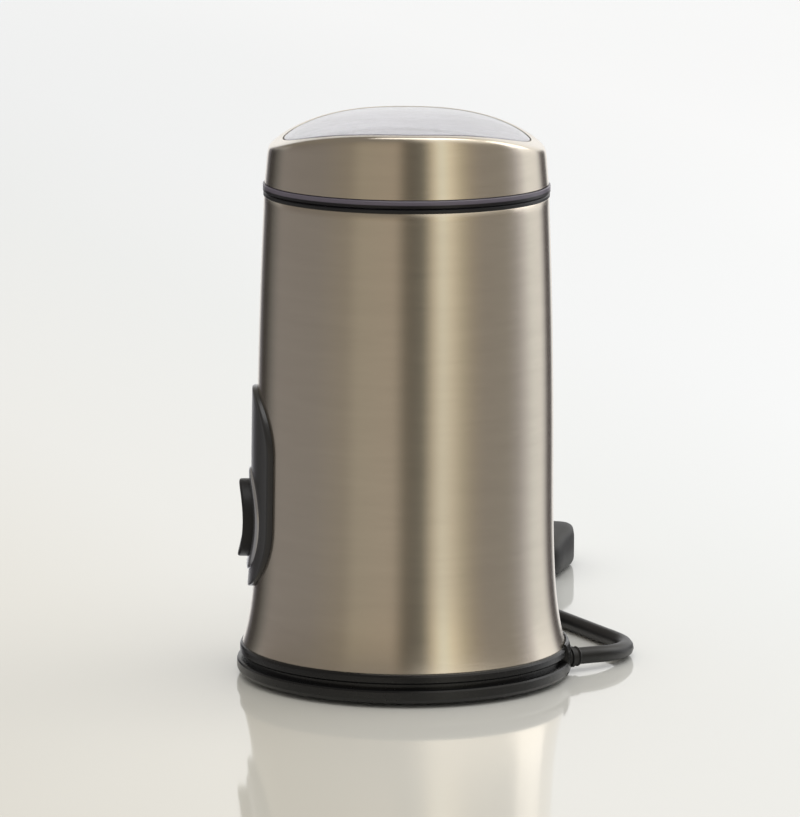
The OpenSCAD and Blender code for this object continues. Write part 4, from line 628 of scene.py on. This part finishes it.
rings = [panel_ring(0, SEAT), panel_ring(0, PANEL_T - PANEL_EDGE)]
for step in range(1, 6):
    angle = math.radians(18 * step)
    proud = PANEL_T - PANEL_EDGE + PANEL_EDGE * math.sin(angle)
    rings.append(panel_ring(0, proud, PANEL_EDGE * (1 - math.cos(angle))))
shares = [i / 12 for i in range(1, 12)]
rings += [panel_ring(s, PANEL_T, PANEL_EDGE) for s in shares]
rings += [panel_ring(1, PANEL_T, PANEL_EDGE), panel_ring(1, PANEL_T - 0.25, PANEL_EDGE), panel_ring(1, SEAT)]
rings += [panel_ring(s, SEAT) for s in reversed(shares)]
satin_black = moulded("satin_abs", "1d1d1f", 0.33, grain=0.7, relief=0.03)
coat = satin_black.node_tree.nodes["Principled BSDF"].inputs
coat["Coat Weight"].default_value = 1
coat["Coat Roughness"].default_value = 0.3
piece("oval_panel", tube_of_rings(rings), satin_black, "housing", "panel_black", "switch_panel", crease=40)


# ---------------------------------------------------------------- bezel
# A ring of chromed ABS around the button. It follows the panel's curve and stands 0.7 mm proud of it, with a
# rounded outer edge that catches the backdrop.
BEZEL_R, BEZEL_IN = 15.6, 12.1


def bezel_ring(radius, proud, sides=144):
    """A ring round the button that follows the shell, raised by a distance."""
    ring = []
    for i in range(sides):
        angle = math.tau * i / sides
        ring.append(on_shell(radius * math.cos(angle), BUTTON_Z + radius * math.sin(angle), proud))
    return ring


chrome, tree, shader = new_material("satin_chrome")
place = add(tree, "TexCoord").outputs["Object"]
dust = add(tree, "TexNoise", {"Vector": place, "Scale": 1 / (5 * MM), "Detail": 3.0})
smear = add(tree, "MapRange", {"Value": dust.outputs["Fac"], "To Min": 0.2, "To Max": 0.3})
tree.links.new(shader.inputs["Roughness"], smear.outputs[0])
shader.inputs["Base Color"].default_value = linear("dcdde0")
shader.inputs["Metallic"].default_value = 1
section = [
    (BEZEL_R, 0.1), (BEZEL_R, 1.4), (BEZEL_R - 0.08, 1.7), (BEZEL_R - 0.28, 1.98), (BEZEL_R - 0.58, 2.16),
    (BEZEL_R - 1, 2.24), (13.8, 2.28), (12.9, 2.28), (12.4, 2.22), (12.16, 2), (BEZEL_IN, 1.7),
    (BEZEL_IN, -0.9), (13.3, -0.9), (13.5, 0.1),
]
rings = [bezel_ring(radius, proud) for radius, proud in section]
piece("chrome_bezel", tube_of_rings(rings), chrome, "housing", "bezel_chrome", "button_bezel", crease=50)


# ---------------------------------------------------------------- button
# A round key of satin black ABS with a rounded rim. Its face is hollowed from top to bottom, for the
# fingertip. Its skirt slides in the guide, and a stem behind it works the switch.
BUTTON_R, RIM, SKIRT_T, STEM_R = 11.6, 0.9, 1.3, 3
DISH_R, DISH_Y, DISH_OFF = 40, -48.1, 0.75
SKIRT_FRONT, SKIRT_BACK, STEM_BACK, TIP_R = -45, -40.5, -34.4, 0.3


def button_ring(radius, depth=0, y=None, sides=120):
    """A ring of the button, at a depth under its dished face or else at a fixed y."""
    ring = []
    for i in range(sides):
        x, rise = radius * math.cos(math.tau * i / sides), radius * math.sin(math.tau * i / sides)
        face = DISH_Y - DISH_R + math.sqrt(DISH_R ** 2 - (rise - DISH_OFF) ** 2)
        ring.append((x, face + depth if y is None else y, BUTTON_Z + rise))
    return ring


rings = [button_ring(r) for r in (TIP_R, 1.5, 3, 4.5, 6, 7.5, 9, BUTTON_R - RIM)]
for step in range(1, 7):
    angle = math.radians(15 * step)
    rings.append(button_ring(BUTTON_R - RIM + RIM * math.sin(angle), RIM * (1 - math.cos(angle))))
rings += [button_ring(r, y=y) for r, y in (
    (BUTTON_R, SKIRT_FRONT), (BUTTON_R, SKIRT_BACK), (BUTTON_R - SKIRT_T, SKIRT_BACK),
    (BUTTON_R - SKIRT_T, SKIRT_FRONT + 0.5), (STEM_R, SKIRT_FRONT + 0.5), (STEM_R, STEM_BACK),
    (TIP_R, STEM_BACK),
)]
key_black = moulded("satin_abs_key", "1a1a1c", 0.42, grain=0.5, relief=0.05)
piece("dished_button", loft(rings), key_black, "push_button", "button_black", "button", crease=50)
finish(moulded("red_acetal", "b8382c", 0.45), "switch_plunger")
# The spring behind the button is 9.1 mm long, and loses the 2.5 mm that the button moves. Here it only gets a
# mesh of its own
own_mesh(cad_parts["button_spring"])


# ---------------------------------------------------------------- collar
# The black ring at the shell's top carries the lid and holds the bowl down. One hole in it lets the lid's peg
# reach the interlock.
finish(moulded("collar_abs", "18181a", 0.36, grain=0.8, relief=0.03), "top_collar")


# ---------------------------------------------------------------- bowl
# A pressed stainless steel cup, 0.6 mm thick, polished inside, with a rolled rim and a hole for the shaft.
BOWL_R, BOWL_RIM, BOWL_FLOOR, BOWL_T, BOWL_CORNER = 34, 143.2, 106, 0.6, 8
RIM_R, HOLE_IN, ROLL_R = 36.9, 5.95, 0.9
corner_r, corner_z = BOWL_R - BOWL_CORNER, BOWL_FLOOR + BOWL_CORNER
profile = (
    [(RIM_R, BOWL_RIM), (BOWL_R + ROLL_R, BOWL_RIM)]
    + arc(BOWL_R + ROLL_R, BOWL_RIM - ROLL_R, ROLL_R, 90, 180, 4)[1:]
    + arc(corner_r, corner_z, BOWL_CORNER, 0, -90, 14)
    + [(6.5, BOWL_FLOOR), (6.5, BOWL_FLOOR + 1), (HOLE_IN, BOWL_FLOOR + 1), (HOLE_IN, BOWL_FLOOR - BOWL_T)]
    + arc(corner_r, corner_z, BOWL_CORNER + BOWL_T, -90, 0, 14)
    + [(BOWL_R + BOWL_T, BOWL_RIM - 1.3), (BOWL_R + 1.1, BOWL_RIM - BOWL_T), (RIM_R, BOWL_RIM - BOWL_T)]
)
bowl_steel = metal("pressed_stainless", "c6c4bf", 0.2, (7, 7, 0.5), depth=0.006)
piece("bowl", spun(profile, steps=144), bowl_steel, "housing", "bowl_steel", "grinding_bowl")
finish(moulded("grey_silicone", "7b7d7b", 0.7), "bowl_gasket")
finish(moulded("seal_rubber", "1f1f1f", 0.65), "shaft_seal")


# ---------------------------------------------------------------- blade
# A strip of hardened stainless steel, 54 mm long, with one wing bent up more than the other and its leading
# edges ground thin. A hub lifts it off the bowl's floor, and a domed nut holds it.
BLADE_L, BLADE_W, BLADE_T, BLADE_Z = 54, 12, 1.5, 112.1
FLAT_L, LOW_WING, HIGH_WING = 13, math.radians(12), math.radians(20)


def wing_z(x):
    """The height of the blade's underside, from its flat middle up along either wing."""
    out = max(0, abs(x) - FLAT_L)
    return BLADE_Z + out * math.tan(LOW_WING if x > 0 else HIGH_WING) * min(1, out / 3)


bm = bmesh.new()
bmesh.ops.create_grid(bm, x_segments=36, y_segments=8, size=0.5)
for vert in bm.verts:
    x, y = vert.co.x * BLADE_L, vert.co.y * BLADE_W
    # The tips are cut aslant, on opposite sides of the two wings
    reach = abs(x) / (BLADE_L / 2)
    y *= 1 - 0.3 * max(0, reach - 0.8) / 0.2
    x -= math.copysign(max(0, reach - 0.75) * y * 0.9, x) * (1 if x > 0 else -1) * 0.8
    vert.co = (x, y, wing_z(x))
bmesh.ops.recalc_face_normals(bm, faces=bm.faces)
bmesh.ops.solidify(bm, geom=bm.faces[:], thickness=-BLADE_T)
# The leading edges are ground down to a quarter of the thickness
EDGE_FROM, EDGE_W, EDGE_CUT = BLADE_W * 0.25, BLADE_W * 0.22, 0.75
for vert in bm.verts:
    leading = vert.co.y * (1 if vert.co.x > 0 else -1)
    if abs(vert.co.x) > 10 and leading > EDGE_FROM:
        base = wing_z(vert.co.x)
        thin = min(1, (leading - EDGE_FROM) / EDGE_W)
        vert.co.z = base + (vert.co.z - base) * (1 - EDGE_CUT * thin)
bmesh.ops.recalc_face_normals(bm, faces=bm.faces)
blade_steel = metal("ground_stainless", "cfcfcc", 0.24, (0.5, 6, 6), depth=0.006)
piece("two_wing_blade", bm, blade_steel, "rotor", "blade_steel", "blade", crease=25)
NUT_Z, DOME_R = 113.7, 3.9
profile = [
    (0, NUT_Z), (2.55, NUT_Z), (4.3, NUT_Z), (4.6, 114), (4.6, 115.9), (4.2, 116.3), (DOME_R, 116.4),
    *arc(0, 113.6, DOME_R, 46, 90, 6),
]
bm = spun(profile, closed=False, steps=48)
piece("domed_nut", bm, blade_steel, "rotor", "blade_steel", "blade_nut", crease=28)
finish(moulded("glass_filled_nylon", "242426", 0.5), "blade_hub")


# ---------------------------------------------------------------- lid
# A brushed steel cover over a clear moulding. The cover's top is a vault, highest along the photograph's
# line of sight and falling away to the button and to the cord. A tight edge parts it from the wall.
LID_SIDES = 192
COVER_Z, COVER_R, COVER_T, DRAFT = 148, shell_r(SHELL_TOP) - 0.15, 0.7, 0.09
CREST, DROP, FLATNESS, WINDOW_R, BULGE = 166.3, 5.35, 2.8, COVER_R - 5.3, 1
SHOULDER_H, TIGHTNESS = 4, 3
LID_ANGLES = [math.tau * i / LID_SIDES for i in range(LID_SIDES)]


def vault(y):
    """The height of the lid's vaulted top, which falls away along Y."""
    return CREST - DROP * (abs(y) / WINDOW_R) ** FLATNESS


def shoulder(a, inset):
    """The shoulder's control points (radius, height) at an angle: on the wall, at its edge, at the window."""
    slope = math.atan(FLATNESS * DROP / WINDOW_R * abs(math.sin(a)) ** FLATNESS)
    edge_r = COVER_R - DRAFT * (vault(COVER_R * math.sin(a)) - COVER_Z)
    edge_z = vault(edge_r * math.sin(a))
    foot_z = edge_z - SHOULDER_H
    return (
        (COVER_R - DRAFT * (foot_z - COVER_Z) - inset, foot_z),
        (edge_r - inset, edge_z - inset * (1 - math.sin(slope)) / math.cos(slope)),
        (WINDOW_R - inset * math.sin(slope), vault(WINDOW_R * math.sin(a)) - inset * math.cos(slope)),
    )


def shoulder_ring(share, inset):
    """A ring round the shoulder, inset from its surface, between the wall and the window."""
    pulls = ((1 - share) ** 2, 2 * TIGHTNESS * share * (1 - share), share ** 2)
    ring = []
    for a in LID_ANGLES:
        r, z = (sum(p * c[i] for p, c in zip(pulls, shoulder(a, inset))) / sum(pulls) for i in (0, 1))
        ring.append((r * math.cos(a), r * math.sin(a), z))
    return ring


def level_ring(r, z):
    """A level circle of the lid."""
    return [(r * math.cos(a), r * math.sin(a), z) for a in LID_ANGLES]


def wall_ring(share, inset):
    """A ring of the cover's straight wall, from its foot up to the shoulder."""
    return [
        tuple(low + (high - low) * share for low, high in zip(foot, top))
        for foot, top in zip(level_ring(COVER_R - inset, COVER_Z), shoulder_ring(0, inset))
    ]


outer = [shoulder_ring(1 - i / 20, 0) for i in range(21)] + [wall_ring(1 - i / 6, 0) for i in range(1, 6)]
inner = [wall_ring(i / 6, COVER_T) for i in range(1, 6)] + [shoulder_ring(i / 14, COVER_T) for i in range(15)]
HEM = 0.15
hem = [
    level_ring(COVER_R, COVER_Z + HEM), level_ring(COVER_R - HEM, COVER_Z),
    level_ring(COVER_R - COVER_T + HEM, COVER_Z), level_ring(COVER_R - COVER_T, COVER_Z + HEM),
]
bm = tube_of_rings(outer + hem + inner)
piece("steel_lid_cover", bm, champagne_steel, "lid", "champagne_steel", "lid_cover", crease=50)


# ---------------------------------------------------------------- clear moulding
# One piece of lightly smoked clear acrylic: the window that fills the vault, a wall that lines the cover,
# the flange that shows as a dark line over the shell, and the spigot and peg below it.
UNDER, LINER_T, LID_Z = COVER_T + 0.25, 1.8, 145.6
FLANGE_R, FLANGE_TOP, FLANGE_EDGE = shell_r(SHELL_TOP) + 0.35, 147.9, 0.25
WALL_R, EDGE_R = COVER_R - UNDER, WINDOW_R - 0.47
SPIGOT_R, SPIGOT_Z = 36.75, LID_Z - 1.9
PEG_R, PEG_L, PEG_X, PEG_Z = 1.2, 2.6, -39.15, 144.7


def window_ring(share, depth):
    """A ring of the window, at a share of its radius and a depth under its bulging top."""
    r = EDGE_R * share
    bulge = BULGE * (1 - (r / WINDOW_R) ** 2)
    return [(r * math.cos(a), r * math.sin(a), vault(r * math.sin(a)) + bulge - depth) for a in LID_ANGLES]


rings = [window_ring(s, 0) for s in (0.008, 0.1, 0.2, 0.3, 0.4, 0.5, 0.6, 0.7, 0.8, 0.88, 0.95, 0.985)]
rings += [window_ring(1, 0.12), window_ring(1, UNDER)]
rings += [shoulder_ring(1 - i / 9, UNDER) for i in range(1, 10)]
rings += [level_ring(r, z) for r, z in (
    (WALL_R, FLANGE_TOP), (FLANGE_R - FLANGE_EDGE, FLANGE_TOP), (FLANGE_R, FLANGE_TOP - FLANGE_EDGE),
    (FLANGE_R, LID_Z + FLANGE_EDGE), (FLANGE_R - FLANGE_EDGE, LID_Z), (SPIGOT_R, LID_Z),
    (SPIGOT_R - 0.15, SPIGOT_Z), (SPIGOT_R - LINER_T, SPIGOT_Z), (SPIGOT_R - LINER_T, FLANGE_TOP - 0.6),
    (WALL_R - LINER_T, FLANGE_TOP + 1),
)]
rings += [shoulder_ring(i / 9, UNDER + LINER_T) for i in range(9)]
inward = (0.94, 0.85, 0.75, 0.65, 0.55, 0.45, 0.35, 0.25, 0.15, 0.008)
rings += [window_ring(s, UNDER + LINER_T) for s in inward]
bm = loft(rings)
bmesh.ops.create_cone(
    bm, cap_ends=True, segments=32, radius1=PEG_R, radius2=PEG_R, depth=PEG_L,
    matrix=Matrix.Translation((PEG_X, 0, PEG_Z)),
)
# It is clear but for the flange: hazy violet in its upper half, and dark below, where the collar shows
smoked, tree, shader = new_material("smoked_acrylic")
place = add(tree, "TexCoord").outputs["Object"]
level = add(tree, "SeparateXYZ", {0: place}).outputs["Z"]
FLANGE_FROM, SHADE_TO, CLEAR_FROM, CLEAR_TO = 145 * MM, 150 * MM, 148 * MM, 149 * MM
rise = add(tree, "MapRange", {"Value": level, "From Min": FLANGE_FROM, "From Max": SHADE_TO})
shade = add(
    tree, "ValToRGB", {"Fac": rise.outputs[0]},
    stops=[
        (0, linear("131215")), (0.3, linear("1b191e")), (0.36, linear("7f7785")), (0.56, linear("7f7785")),
        (0.6, linear("4a4550")), (0.7, linear("e9e6ee")),
    ],
)
thin = add(tree, "MapRange", {"Value": level, "From Min": CLEAR_FROM, "From Max": CLEAR_TO})
haze = add(tree, "TexNoise", {"Vector": place, "Scale": 1 / (18 * MM), "Detail": 3.0})
cloudy = add(tree, "MapRange", {"Value": haze.outputs["Fac"], "To Min": 0.02, "To Max": 0.1})
rough = add(tree, "Mix", {0: thin.outputs[0], 2: 0.3, 3: cloudy.outputs[0]})
# Faint milky streaks: painted reflection, which stands in for whitish streaky reflections on the window.
# Where they lie, less light passes and the pale colour shows
drawn = add(tree, "Mapping", {"Vector": place, "Scale": (1 / (9 * MM), 1 / (38 * MM), 1 / (9 * MM))})
painted_reflection_streaks = add(tree, "TexNoise", {"Vector": drawn.outputs[0], "Scale": 1.0, "Detail": 3.0})
clear = add(
    tree, "MapRange",
    {"Value": painted_reflection_streaks.outputs["Fac"], "From Min": 0.38, "From Max": 0.66, "To Min": 1.0, "To Max": 0.76},
)
see_through_with_painted_streaks = add(tree, "Mix", {0: thin.outputs[0], 2: 0.45, 3: clear.outputs[0]})
tree.links.new(shader.inputs["Base Color"], shade.outputs[0])
tree.links.new(shader.inputs["Roughness"], rough.outputs[0])
tree.links.new(shader.inputs["Transmission Weight"], see_through_with_painted_streaks.outputs[0])
shader.inputs["IOR"].default_value = 1.49
piece("clear_lid_moulding", bm, smoked, "lid", "clear_smoke", "lid_liner", crease=40)


# ---------------------------------------------------------------- frame, motor and switches
# What the shell hides: a moulded frame with the motor hung under its deck on rubber mounts, its brushes and
# bearings, the two switches, the wires and the parts of the interlock.
finish(moulded("frame_pp", "2b2b2d", 0.6, grain=0.8, relief=0.06), "inner_frame", "bowl_cup", "button_guide")
finish(moulded("mount_rubber", "232323", 0.8), "motor_mounts")
finish(moulded("switch_nylon", "3d4148", 0.5), "main_switch", "interlock_switch")
finish(moulded("white_acetal", "e2dfd4", 0.4), "interlock_pin", "thrust_washers")
finish(moulded("ivory_nylon", "d6d2c6", 0.5), "cooling_fan")
finish(moulded("potting_epoxy", "c19a3a", 0.4), "suppressor_capacitor")
finish(moulded("silicone_wire", "2f4f8f", 0.5), "internal_leads")
finish(moulded("paper_laminate", "7a4b2a", 0.55, grain=0.3), "brush_plate")
finish(moulded("pressed_carbon", "2c2c2e", 0.6, grain=0.15), "carbon_brushes")
# Laminations 0.5 mm thick are stacked upwards
finish(metal("laminated_iron", "7b766f", 0.45, (9, 9, 0.5), depth=0.1), "stator_core", "armature_core")
# Enamelled wire about 0.4 mm thick
finish(metal("enamelled_copper", "b4622c", 0.3, (0.4, 5, 0.4), depth=0.2), "field_coils", "armature_winding")
finish(metal("cast_aluminium", "b3b5b6", 0.42, (1, 1, 1), depth=0.05), "upper_bracket", "lower_bracket")
finish(metal("sintered_bronze", "a67a3c", 0.4, (0.3, 0.3, 0.3)), "upper_bearing", "lower_bearing")
finish(metal("turned_copper", "b8733a", 0.3, (4, 4, 0.2)), "commutator")
finish(metal("pressed_brass", "c9a24a", 0.3, (2, 0.4, 2)), "brush_holders")
finish(metal("ground_steel", "c4c6c8", 0.2, (5, 5, 0.3)), "motor_shaft")
finish(metal("spring_wire", "bfc0c1", 0.28, (1, 1, 1)), "button_spring", "interlock_spring", "brush_springs")
finish(metal("tinned_fuse", "d0d0ce", 0.3, (1, 5, 1)), "thermal_fuse")
finish(zinc, "collar_screws", "motor_screws", "motor_nuts", "guide_screws")
